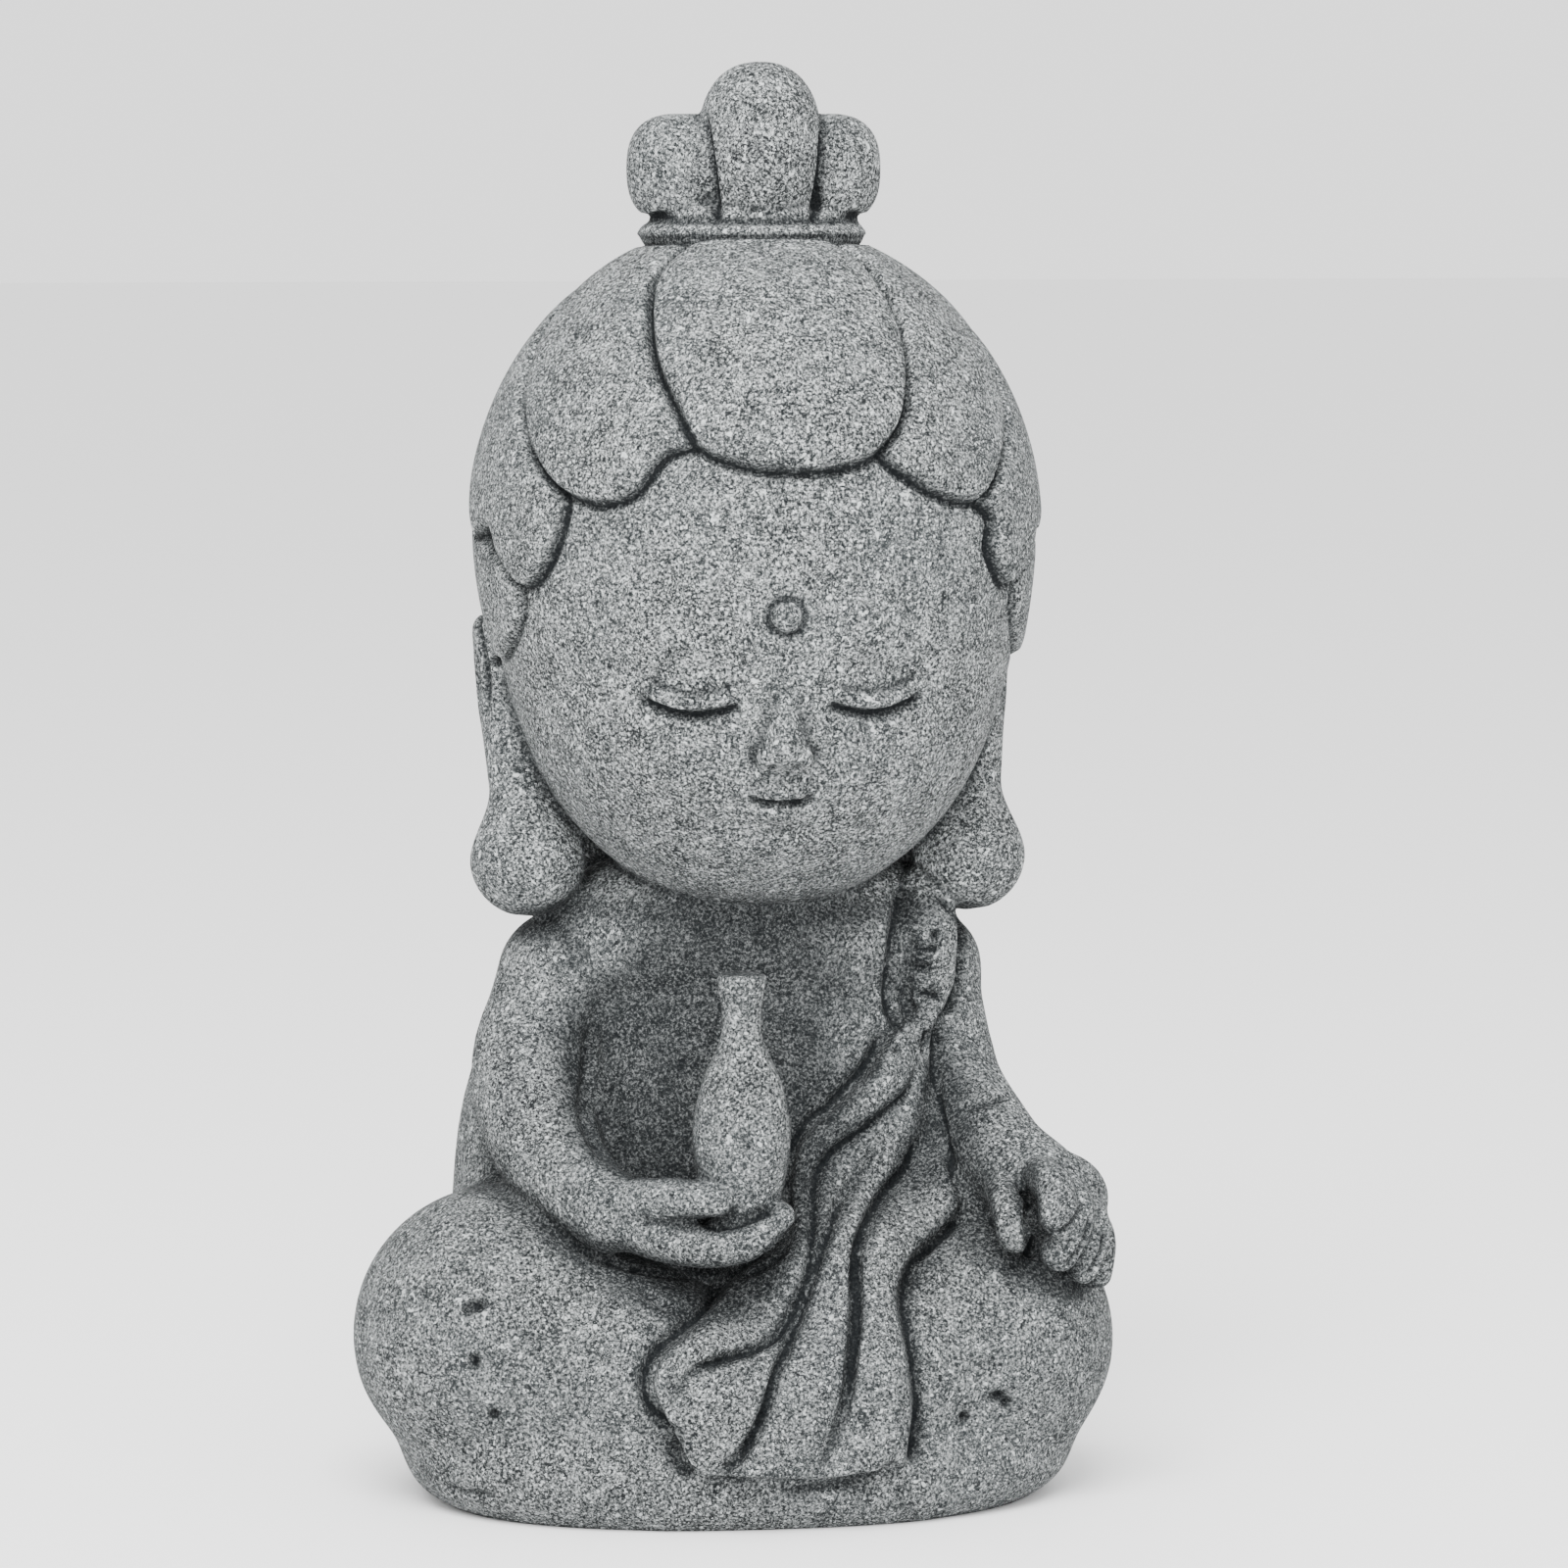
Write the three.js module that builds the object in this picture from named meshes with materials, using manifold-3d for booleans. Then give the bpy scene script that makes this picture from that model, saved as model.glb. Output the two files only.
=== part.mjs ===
// A seated guanyin figurine, cast in one piece in grey stone-look composite: round head with
// combed-up hair, tied bun and long ears, a slender vase in one palm, the other hand on the knee,
// and a robe that hangs in folds from one shoulder over the crossed legs.
// Millimetres, +Z up, the figure faces -Y, and the origin is the middle of the flat underside.
import * as THREE from "three";
import { mergeVertices } from "three/addons/utils/BufferGeometryUtils.js";
import Module from "manifold-3d";

const wasm = await Module();
wasm.setup();

// Driving dimensions
const HEIGHT = 130; // underside to the tip of the bun
const VASE_HEIGHT = 22.5;
const VASE_RADIUS = 4.4;
const VASE_NECK_RADIUS = 1.75;
const TIE_WIDTH = 2.1; // the cord round the foot of the bun
const TIE_RADIUS = 10.6;
const EARLOBE_RADIUS = 5.3;
const FINGER_RADIUS = 1.8;
const ROBE_THICKNESS = 1.2; // how far the robe stands off the body
const FOLD_RISE = 0.9; // how far its folds stand off the robe
const LOCK_RISE = 1.4; // how far the locks of hair stand off the head
const STONE_GREY = 0x8f9494;

// The figure is drawn on a grid of modules, 130 to its height, so pose and proportions follow HEIGHT.
const MODULES_HIGH = 130;
const module = HEIGHT / MODULES_HIGH;
const at = (x, y, z) => new THREE.Vector3(x, y, z).multiplyScalar(module);
const modules = (size) => size / module;

// The robe is sketched on a plane turned a little from square, from which it is laid on the stone.
const SKETCH_TURN = THREE.MathUtils.degToRad(-7);
const SKETCH_TILT = THREE.MathUtils.degToRad(6);
const sketchRight = new THREE.Vector3(Math.cos(SKETCH_TURN), Math.sin(SKETCH_TURN), 0);
const sketchInto = new THREE.Vector3(
  -Math.sin(SKETCH_TURN) * Math.cos(SKETCH_TILT),
  Math.cos(SKETCH_TURN) * Math.cos(SKETCH_TILT),
  -Math.sin(SKETCH_TILT),
);
const sketchUp = new THREE.Vector3().crossVectors(sketchRight, sketchInto);

// Solids
function solidOf(geometry) {
  const bare = geometry.clone();
  bare.deleteAttribute("normal");
  bare.deleteAttribute("uv");
  const merged = mergeVertices(bare, 1e-4);
  const make = () =>
    new wasm.Manifold(
      new wasm.Mesh({
        numProp: 3,
        vertProperties: new Float32Array(merged.attributes.position.array),
        triVerts: new Uint32Array(merged.index.array),
      }),
    );
  const solid = make();
  if (solid.volume() > 0) return solid;
  const corners = merged.index.array;
  for (let i = 0; i < corners.length; i += 3) [corners[i], corners[i + 1]] = [corners[i + 1], corners[i]];
  return make();
}

function geometryOf(solid) {
  const { vertProperties, triVerts } = solid.getMesh();
  const geometry = new THREE.BufferGeometry();
  geometry.setAttribute("position", new THREE.BufferAttribute(new Float32Array(vertProperties), 3));
  geometry.setIndex(new THREE.BufferAttribute(new Uint32Array(triVerts), 1));
  geometry.computeVertexNormals();
  return geometry;
}

const union = (solids) => solids.reduce((sum, solid) => sum.add(solid));

const signedPower = (value, power) => Math.sign(value) * Math.abs(value) ** power;

// A pebble is an ellipsoid that can be squared off, in plan and in profile, by powers under 1.
function pebble(centre, radii, { plan = 1, profile = 1, sides = 20, rings = 14, turn = [0, 0, 0] } = {}) {
  const geometry = new THREE.SphereGeometry(1, sides, rings).rotateX(Math.PI / 2);
  const position = geometry.attributes.position;
  for (let i = 0; i < position.count; i++) {
    const [x, y, z] = [position.getX(i), position.getY(i), position.getZ(i)];
    const level = Math.hypot(x, y);
    const spread = level < 1e-6 ? 0 : level ** profile;
    const [cos, sin] = level < 1e-6 ? [1, 0] : [x / level, y / level];
    position.setXYZ(
      i,
      radii[0] * spread * signedPower(cos, plan),
      radii[1] * spread * signedPower(sin, plan),
      radii[2] * signedPower(z, profile),
    );
  }
  const [a, b, c] = turn.map(THREE.MathUtils.degToRad);
  geometry.applyMatrix4(new THREE.Matrix4().makeRotationFromEuler(new THREE.Euler(a, b, c)));
  geometry.translate(...centre).scale(module, module, module);
  return solidOf(geometry);
}

// A limb is a sphere drawn out along a curve, with a half width and half depth at each point of the route.
function limb(route, girths, { sides = 14, rings = 14, across = [1, 0, 0] } = {}) {
  const spine = new THREE.CatmullRomCurve3(route, false, "centripetal");
  const length = spine.getLength();
  const wanted = new THREE.Vector3(...across);
  const girth = (share, side) => {
    const place = THREE.MathUtils.clamp(share, 0, 1) * (girths.length - 1);
    const low = Math.min(Math.floor(place), girths.length - 2);
    const blend = THREE.MathUtils.smoothstep(place - low, 0, 1);
    return module * THREE.MathUtils.lerp(girths[low][side], girths[low + 1][side], blend);
  };
  const caps = [0, 1].map((end) => Math.min(girth(end, 0), girth(end, 1)));
  const geometry = new THREE.SphereGeometry(1, sides, rings);
  const { position, uv } = geometry.attributes;
  for (let i = 0; i < position.count; i++) {
    const turn = 2 * Math.PI * uv.getX(i);
    const v = 1 - uv.getY(i);
    const eased = 0.6 * v + 0.2 * (1 - Math.cos(Math.PI * v));
    const travel = eased * (length + caps[0] + caps[1]) - caps[0];
    const share = THREE.MathUtils.clamp(travel / length, 0, 1);
    const beyond = travel - share * length;
    const cap = beyond < 0 ? caps[0] : caps[1];
    const shrink = Math.sqrt(Math.max(0, 1 - (beyond / cap) ** 2));
    const along = spine.getTangentAt(share);
    const side = wanted.clone().addScaledVector(along, -wanted.dot(along)).normalize();
    const other = new THREE.Vector3().crossVectors(along, side);
    const point = spine
      .getPointAt(share)
      .addScaledVector(along, beyond)
      .addScaledVector(side, Math.cos(turn) * shrink * girth(share, 0))
      .addScaledVector(other, Math.sin(turn) * shrink * girth(share, 1));
    position.setXYZ(i, point.x, point.y, point.z);
  }
  return solidOf(geometry);
}

const route = (...points) => points.map((p) => at(...p));

// Head
// The head is two ellipsoids, skull and face, run smoothly together as seen from one middle point.
const HEAD_MIDDLE = [0, -2, 84];
const SKULL = { centre: [0, -1.5, 87.8], radii: [24.7, 24.1, 27.6] };
const FACE_BALL = { centre: [0, -2.6, 79], radii: [22.6, 22.4, 23.4] };
const HEAD_BLEND = 3;

// How far an ellipsoid's surface is from the head's middle, in a direction.
function reach({ centre, radii }, direction) {
  const from = HEAD_MIDDLE.map((middle, i) => (middle - centre[i]) / radii[i]);
  const step = direction.map((part, i) => part / radii[i]);
  const dot = (p, q) => p[0] * q[0] + p[1] * q[1] + p[2] * q[2];
  const [a, b, c] = [dot(step, step), dot(from, step), dot(from, from) - 1];
  return (-b + Math.sqrt(b * b - a * c)) / a;
}

function headSurface(direction) {
  const [skull, face] = [reach(SKULL, direction), reach(FACE_BALL, direction)];
  const share = THREE.MathUtils.clamp(0.5 + (skull - face) / (2 * HEAD_BLEND), 0, 1);
  const distance = THREE.MathUtils.lerp(face, skull, share) + HEAD_BLEND * share * (1 - share);
  return HEAD_MIDDLE.map((middle, i) => middle + distance * direction[i]);
}

function makeHead() {
  const geometry = new THREE.SphereGeometry(1, 26, 18).rotateX(Math.PI / 2);
  const position = geometry.attributes.position;
  for (let i = 0; i < position.count; i++) {
    position.setXYZ(i, ...headSurface([position.getX(i), position.getY(i), position.getZ(i)]));
  }
  return solidOf(geometry.scale(module, module, module));
}

// A lock of hair is a padded lobe that follows the head; its half width and half length are angles seen from
// the head's middle.
const LOCK_ROOT = 3; // how far a lock reaches into the head

function lock(azimuth, elevation, halfWidth, halfLength, { lean = 0, rise = 1 } = {}) {
  const [a, e, tilt] = [azimuth, elevation, lean].map(THREE.MathUtils.degToRad);
  const [across, up] = [halfWidth, halfLength].map(THREE.MathUtils.degToRad);
  const centre = new THREE.Vector3(Math.cos(e) * Math.sin(a), -Math.cos(e) * Math.cos(a), Math.sin(e));
  const side = new THREE.Vector3(Math.cos(a), Math.sin(a), 0).applyAxisAngle(centre, tilt);
  const along = new THREE.Vector3().crossVectors(centre, side);
  const geometry = new THREE.SphereGeometry(1, 12, 7).rotateX(Math.PI / 2);
  const position = geometry.attributes.position;
  for (let i = 0; i < position.count; i++) {
    const [x, y, z] = [position.getX(i), position.getY(i), position.getZ(i)];
    const spread = Math.sqrt(Math.hypot(x, y));
    const [sideways, upwards] = [x, y].map((part, k) => part * (spread > 0 ? [across, up][k] / spread : 0));
    const bend = Math.hypot(sideways, upwards);
    const direction = centre.clone().multiplyScalar(Math.cos(bend));
    if (bend > 0) {
      direction.addScaledVector(side, (Math.sin(bend) * sideways) / bend);
      direction.addScaledVector(along, (Math.sin(bend) * upwards) / bend);
    }
    const lift = signedPower(z, 0.5) * (z > 0 ? rise * modules(LOCK_RISE) : LOCK_ROOT);
    const point = new THREE.Vector3(...headSurface(direction.toArray())).addScaledVector(direction, lift);
    position.setXYZ(i, point.x, point.y, point.z);
  }
  return solidOf(geometry.scale(module, module, module));
}

function makeHair() {
  const locks = [
    lock(3, 56, 25, 33, { rise: 1.35 }),
    lock(180, 36, 30, 40),
    lock(180, -24, 32, 26, { rise: 0.7 }),
  ];
  for (const hand of [-1, 1]) {
    locks.push(lock(hand * 52, 46, 23, 30, { lean: hand * 10 }));
    locks.push(lock(hand * 84, 24, 24, 27, { lean: hand * 8, rise: 1.1 }));
    locks.push(lock(hand * 81, -2, 18, 14, { rise: 0.7 }));
    locks.push(lock(hand * 130, 32, 29, 36));
    locks.push(lock(hand * 134, -20, 28, 26, { rise: 0.7 }));
  }
  const napeGirths = [[21.5, 12], [19.5, 9.5], [15, 7]];
  const nape = limb(route([0, 5, 78], [0, 8.5, 64], [0, 11, 46]), napeGirths, { sides: 16, rings: 10 });
  return union([...locks, nape]);
}

function makeBun() {
  const tieBottom = 114;
  const tie = modules(TIE_WIDTH);
  const radius = modules(TIE_RADIUS);
  const edge = 0.45 * tie;
  const tieProfile = [
    [0, -3],
    [radius - 1.4, -3],
    [radius - 1.1, -0.3],
    [radius - edge, 0],
    [radius, 0.5 * tie],
    [radius - edge, tie],
    [radius - 1.2, tie + 0.3],
    [radius - 1.6, tie + 1.6],
    [0, tie + 1.6],
  ];
  const turned = new THREE.LatheGeometry(tieProfile.map(([r, z]) => new THREE.Vector2(r, z)), 24);
  turned.rotateX(Math.PI / 2).translate(0, 0.5, tieBottom).scale(module, module, module);
  const foot = tieBottom + tie;
  const crown = MODULES_HIGH - foot;
  const petalShape = { profile: 0.85, sides: 12, rings: 8 };
  const petals = [pebble([0, -3.2, foot + 0.46 * crown], [5.6, 6.4, 0.54 * crown], petalShape)];
  const petalHeight = 0.38 * crown;
  for (const azimuth of [78, 138, 222, 282]) {
    const angle = THREE.MathUtils.degToRad(azimuth);
    const out = 0.66 * radius;
    const centre = [out * Math.sin(angle), 0.5 - out * Math.cos(angle), foot + petalHeight * 0.92];
    petals.push(pebble(centre, [4.7, 4.7, petalHeight], petalShape));
  }
  return union([solidOf(turned), ...petals]);
}

// The ears, left then right: the spine of each from its rim down to the heavy lobe.
const EARS = [
  [[-23.6, 2.6, 78.6], [-23, 1.6, 72], [-21.7, 0, 65.5], [-20.7, -1, 57.3]],
  [[22.3, 2.6, 78.6], [21.6, 1.6, 72], [20.4, 0, 65.5], [19.7, -1, 57.3]],
];

function makeEar(spine) {
  const lobe = modules(EARLOBE_RADIUS);
  const shell = limb(route(...spine), [[1.8, 4.4], [2, 4], [2.6, 3], [lobe, lobe]], { sides: 12, rings: 12 });
  const [x, y, z] = spine[0];
  const bowl = pebble([x + 2.8 * Math.sign(x), y - 1.8, z - 2.6], [2.2, 2.6, 3.6], { sides: 8, rings: 6 });
  return shell.subtract(bowl);
}

// The face is a plain calm one of the author's own: closed eyes, small nose and mouth, a child's proportions.
const FACE_TOP = 95;
const CHIN = 56;
const faceLevel = (share) => CHIN + share * (FACE_TOP - CHIN);
const MARK_LEVEL = faceLevel(0.66);
const EYE_LEVEL = faceLevel(0.46);
const NOSE_LEVEL = faceLevel(0.33);
const MOUTH_LEVEL = faceLevel(0.235);
const EYE_SPAN = 9.4; // along each lid
const EYE_OFFSET = 8.4; // from the middle of the face to the middle of an eye
const EYE_SAG = 1.1; // how far the closed lid hangs at its middle
const MOUTH_SPAN = 5.2;

// The point of the face at a distance from its middle line and a height, lifted off it by lift.
function onFace([x, z], lift) {
  let y = -HEAD_MIDDLE[2];
  for (let pass = 0; pass < 8; pass++) {
    const way = new THREE.Vector3(x, y, z).sub(new THREE.Vector3(...HEAD_MIDDLE)).normalize();
    y = headSurface(way.toArray())[1];
  }
  return at(x, y - lift, z);
}

function makeFace() {
  const lidCut = [[0.5, 0.6], [0.5, 0.6]];
  const bridge = [EYE_LEVEL, NOSE_LEVEL + 1.6].map((z) => onFace([0, z], -0.9));
  const nose = limb(bridge, [[0.9, 1.3], [2.2, 2.6]], { sides: 10, rings: 8 });
  const markPlace = onFace([0, MARK_LEVEL], 0).divideScalar(module);
  const mark = pebble(markPlace.toArray(), [1.4, 0.9, 1.4], { sides: 10, rings: 6 });
  const lips = [[-0.5, 0.3], [0, 0], [0.5, 0.3]].map(([share, rise]) =>
    onFace([share * MOUTH_SPAN, MOUTH_LEVEL + rise], 0.1),
  );
  const cut = [limb(lips, lidCut, { sides: 6, rings: 8 })];
  for (const hand of [-1, 1]) {
    const lid = [[-0.5, 0], [0, -EYE_SAG], [0.5, 0.9]].map(([share, rise]) =>
      onFace([hand * (EYE_OFFSET + share * EYE_SPAN), EYE_LEVEL + rise], 0.2),
    );
    cut.push(limb(lid, lidCut, { sides: 6, rings: 10 }));
  }
  return { added: union([nose, mark]), cut: union(cut) };
}

// Body: the knees, the shins folded in front of it, the base they rest on and the cloth that fills the lap.
const SHINS = [
  {
    spine: [[-23, -6.5, 14.8], [-13, -12, 12], [-2, -15.5, 9.6]],
    girths: [[13.3, 13], [11, 10.6], [8.6, 8.4]],
  },
  {
    spine: [[18.4, -6.5, 13.6], [9, -12.5, 11.5], [1, -15.5, 9.2]],
    girths: [[13.2, 12.8], [10.8, 10.2], [8.4, 8.2]],
  },
];

function makeLegs() {
  const shape = { sides: 16, rings: 14, across: [0, 0, 1] };
  return union([
    pebble([-23.5, -5.6, 15.3], [13.7, 14.4, 13.5], { sides: 20, rings: 12 }),
    limb(route(...SHINS[0].spine), SHINS[0].girths, shape),
    pebble([18.9, -5.8, 14], [13.5, 14.2, 13.5], { sides: 20, rings: 12 }),
    limb(route(...SHINS[1].spine), SHINS[1].girths, shape),
    pebble([-1.9, -3, 4.4], [31, 21.2, 7.6], { plan: 0.85, profile: 0.8, sides: 22, rings: 8 }),
    pebble([6, -9.5, 19], [11, 9, 9.5], { sides: 16, rings: 8 }),
  ]);
}

// The trunk and shoulders, and the mantle that falls behind the arms to the seat.
function makeTorso() {
  return union([
    pebble([0, 2, 32], [19, 14.5, 27], { plan: 0.9, profile: 0.9, sides: 18, rings: 12 }),
    pebble([0, 2, 50], [19.4, 11.6, 9.6], { profile: 0.9, sides: 16, rings: 8 }),
    pebble([-1.2, 6, 21], [26.2, 14, 33], { plan: 0.85, profile: 0.8, sides: 20, rings: 12 }),
  ]);
}

// The arm that holds the vase, with the fingers under its foot and the thumb beside it.
const VASE_ARM = {
  spine: [[-17, 1.5, 46.8], [-20.6, 0, 41], [-21, -1.5, 36.6], [-19.7, -6, 32.1],
    [-17.1, -11, 29.1], [-14.6, -14.5, 27.7]],
  girths: [[6.4, 6.4], [4.9, 5.4], [5, 5.4], [4.7, 4.9], [4.2, 4.4], [3.6, 3.8]],
};
const VASE_FINGERS = {
  spine: [[-14.4, -14, 27.6], [-8.7, -18.6, 25.7], [-5.1, -20.9, 25.6], [-2.3, -21.4, 26.4], [0.1, -21, 28.2]],
  girths: [[3.4, 3.4], [2.5, 3.2], [2.1, 3], [1.9, 2.6], [1.3, 1.6]],
};
const VASE_THUMB = {
  spine: [[-13.2, -16.4, 28.8], [-9.2, -20, 29.7], [-5.8, -22, 29.8]],
  girths: [[2.2, 2.2], [1.9, 1.9], [1.5, 1.5]],
};
const PALM = [-3.2, -18.6, 27.1]; // where the vase stands

function makeVaseArm() {
  return union([
    limb(route(...VASE_ARM.spine), VASE_ARM.girths, { sides: 12, rings: 14 }),
    limb(route(...VASE_FINGERS.spine), VASE_FINGERS.girths, { sides: 10, rings: 10, across: [0, 0, 1] }),
    limb(route(...VASE_THUMB.spine), VASE_THUMB.girths, { sides: 8, rings: 7 }),
  ]);
}

// The arm that rests on the knee, with its thumb and four fingers bent over it.
const KNEE_ARM = {
  spine: [[16, 2, 47.2], [16.8, 1, 42.8], [18, -1, 38], [19, -3.5, 35.5],
    [20.2, -6.5, 33.4], [21.7, -9.5, 31], [23.9, -12, 29.2]],
  girths: [[5.4, 6], [4.8, 5.4], [4.6, 5], [4.3, 4.6], [4.3, 4.4], [4.4, 4.4], [4.6, 4]],
};
const BACK_OF_HAND = { centre: [26, -12, 27.6], radii: [5, 4.6, 4.4] };
const FINGERS = [
  { spine: [[19.9, -13.5, 30.2], [20.3, -19, 27.6], [20.9, -20.2, 25.1]], girth: 0.95 },
  { spine: [[24.1, -14.5, 30.4], [24.9, -19.5, 29.6], [25, -20.5, 27.4]], girth: 1 },
  { spine: [[26.1, -14, 29.4], [27, -18.2, 27.4], [25.4, -18.8, 23.9]], girth: 1 },
  { spine: [[27.7, -12.5, 28.5], [29, -16.3, 25.6], [27.9, -16.3, 22]], girth: 0.85 },
  { spine: [[28.6, -10.5, 27.4], [30, -13.8, 24.2], [29.7, -13.8, 21]], girth: 0.8 },
];

function makeKneeArm() {
  const finger = modules(FINGER_RADIUS);
  const fingers = FINGERS.map(({ spine, girth }) => {
    const round = [finger * girth, finger * girth];
    return limb(route(...spine), [round, round], { sides: 8, rings: 8 });
  });
  const arm = limb(route(...KNEE_ARM.spine), KNEE_ARM.girths, { sides: 12, rings: 14 });
  const back = pebble(BACK_OF_HAND.centre, BACK_OF_HAND.radii, { sides: 12, rings: 8 });
  return union([arm, back, ...fingers]);
}

function makeVase() {
  const tall = modules(VASE_HEIGHT);
  const wide = modules(VASE_RADIUS);
  const neck = modules(VASE_NECK_RADIUS);
  const outline = [
    [0.62 * wide, 0],
    [0.86 * wide, 0.14 * tall],
    [wide, 0.37 * tall],
    [0.8 * wide, 0.57 * tall],
    [neck * 1.1, 0.74 * tall],
    [neck, 0.82 * tall],
    [neck * 1.32, tall],
  ];
  const curve = new THREE.SplineCurve(outline.map(([r, z]) => new THREE.Vector2(r, z)));
  const profile = [new THREE.Vector2(0, 0), ...curve.getPoints(10), new THREE.Vector2(0, tall)];
  const geometry = new THREE.LatheGeometry(profile, 14);
  geometry.rotateX(Math.PI / 2).translate(...PALM).scale(module, module, module);
  return solidOf(geometry);
}

// Finds how far the stone lies beyond a point of the sketch plane.
function sounder(solid) {
  const stone = new THREE.Mesh(geometryOf(solid), new THREE.MeshBasicMaterial({ side: THREE.DoubleSide }));
  const ray = new THREE.Raycaster();
  return (point) => {
    ray.set(onSketch(point, 0), sketchInto);
    return ray.intersectObject(stone)[0].distance / module;
  };
}

// A point of the sketch plane, which stands one height before the figure, carried some depth inwards.
function onSketch([u, v], depth) {
  return new THREE.Vector3()
    .addScaledVector(sketchRight, u * module)
    .addScaledVector(sketchUp, v * module)
    .addScaledVector(sketchInto, depth * module - HEIGHT);
}

// The robe hangs from the shoulder over the lap. These lines run from the knot to the hem on the sketch plane:
// its left edge, the valleys between its folds, and its right edge.
const VALLEYS = [
  [[14.1, 42.2], [12.6, 39.7], [10.4, 37.6], [7.6, 34.7], [4.8, 32.6], [3.7, 30.9], [3.3, 28.4], [3.7, 24.4],
    [2, 22.2], [-0.8, 20.3], [-3.1, 17.5], [-7.1, 13.5], [-9, 12.2], [-9.8, 10.3]],
  [[14.9, 42.2], [14.3, 36.9], [11.9, 34.4], [9, 32.6], [6.9, 30.9], [5.9, 29.1], [5.2, 23.4], [5, 20.3],
    [3.7, 16.7], [1.4, 13.9], [-1.7, 12.2], [-4.5, 11.2], [-7, 9.4], [-8, 6.9]],
  [[15.6, 42.2], [14.9, 37.2], [12.4, 33.2], [9.7, 29.1], [8.3, 27], [7.3, 24.8], [5.9, 20.2], [4.1, 15.8],
    [2.1, 9.4], [-0.8, 3.6], [-4, 2]],
  [[16.3, 42.2], [15.9, 36.4], [15.2, 32.6], [14, 29.8], [12.2, 27.3], [10.8, 24.8], [9.3, 19.3], [9, 15.3],
    [8.9, 11.3], [7.3, 4.9], [5.9, 1.6]],
  [[17, 42.2], [16.9, 35.4], [17.4, 32.3], [18.2, 28.7], [18.4, 25.9], [15.6, 22.8], [13.6, 20.3], [13.4, 17.1],
    [13.8, 13.5], [14.2, 9.9], [14.4, 6.3], [13.7, 3]],
];
const FOLD_WIDTH = 4; // a fold this wide rises fully; a narrower one rises less
const FACETS_PER_FOLD = 5;
const FACETS_ALONG = 17;
const ROBE_ROOT = 5; // how far the robe's back lies within the body
const SMOOTHINGS = 4; // passes that let the cloth bridge the hollows under it

function makeRobe(body) {
  const sound = sounder(body);
  const flat = ([u, v]) => new THREE.Vector3(u, v, 0);
  const valleys = VALLEYS.map((line) => new THREE.CatmullRomCurve3(line.map(flat)));
  const across = FACETS_PER_FOLD * (valleys.length - 1);
  const plan = (column, row) => {
    const fold = Math.min(Math.floor(column / FACETS_PER_FOLD), valleys.length - 2);
    const share = column / FACETS_PER_FOLD - fold;
    const [left, right] = valleys.slice(fold, fold + 2).map((valley) => valley.getPointAt(row / FACETS_ALONG));
    const fullness = Math.min(1, left.distanceTo(right) / FOLD_WIDTH);
    const point = left.clone().lerp(right, share);
    const rise = fullness * FOLD_RISE * Math.sin(Math.PI * share);
    return { point: [point.x, point.y], lift: ROBE_THICKNESS + rise };
  };
  const columns = [...Array(across + 1).keys()];
  const rows = [...Array(FACETS_ALONG + 1).keys()];
  let depths = columns.map((column) => rows.map((row) => sound(plan(column, row).point)));
  for (let pass = 0; pass < SMOOTHINGS; pass++) {
    const before = depths;
    depths = columns.map((column) =>
      rows.map((row) => {
        const near = [[0, 0], [-1, 0], [1, 0], [0, -1], [0, 1]].map(
          ([i, j]) => before[column + i]?.[row + j] ?? before[column][row],
        );
        return Math.min(before[column][row], near.reduce((sum, depth) => sum + depth) / near.length);
      }),
    );
  }
  const geometry = new THREE.BoxGeometry(1, 1, 1, across, FACETS_ALONG, 1);
  const position = geometry.attributes.position;
  for (let i = 0; i < position.count; i++) {
    const column = Math.round((position.getX(i) + 0.5) * across);
    const row = Math.round((0.5 - position.getY(i)) * FACETS_ALONG);
    const { point, lift } = plan(column, row);
    const outwards = position.getZ(i) > 0 ? lift / module : -ROBE_ROOT;
    const place = onSketch(point, depths[column][row] - outwards);
    position.setXYZ(i, place.x, place.y, place.z);
  }
  return solidOf(geometry);
}

// The bunched cloth of the shoulder strap.
const STRAP = {
  line: [[15.6, 54.8], [15.7, 50.4], [15.6, 46.5], [15.4, 42.6]],
  girths: [[2.6, 1.8], [3, 2], [2.9, 2], [1.8, 1.8]],
  lift: 0.4,
};

function makeStrap(body) {
  const sound = sounder(body);
  const spine = STRAP.line.map((point) => onSketch(point, sound(point) - STRAP.lift));
  return limb(spine, STRAP.girths, { sides: 10, rings: 9 });
}

// Assembly: the body first, then what is laid on it, then what is cut into it.
function makeStatue() {
  const body = union([makeTorso(), makeLegs()]);
  const face = makeFace();
  const head = union([makeHead(), makeHair(), makeBun(), ...EARS.map(makeEar), face.added]).subtract(face.cut);
  const robe = union([makeRobe(body), makeStrap(body)]);
  const whole = union([body, robe, head, makeVaseArm(), makeKneeArm(), makeVase()]);
  const below = solidOf(new THREE.BoxGeometry(2 * HEIGHT, 2 * HEIGHT, HEIGHT).translate(0, 0, -HEIGHT / 2));
  return whole.subtract(below);
}

const geometry = geometryOf(makeStatue());
geometry.computeBoundingBox();
const middle = geometry.boundingBox.getCenter(new THREE.Vector3());
geometry.translate(-middle.x, -middle.y, 0);

const stone = new THREE.MeshStandardMaterial({ color: STONE_GREY, roughness: 0.95, metalness: 0 });
const statue = new THREE.Mesh(geometry, stone);
statue.name = "guanyin_statue";

const part = new THREE.Group();
part.add(statue);
export default part;
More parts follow.
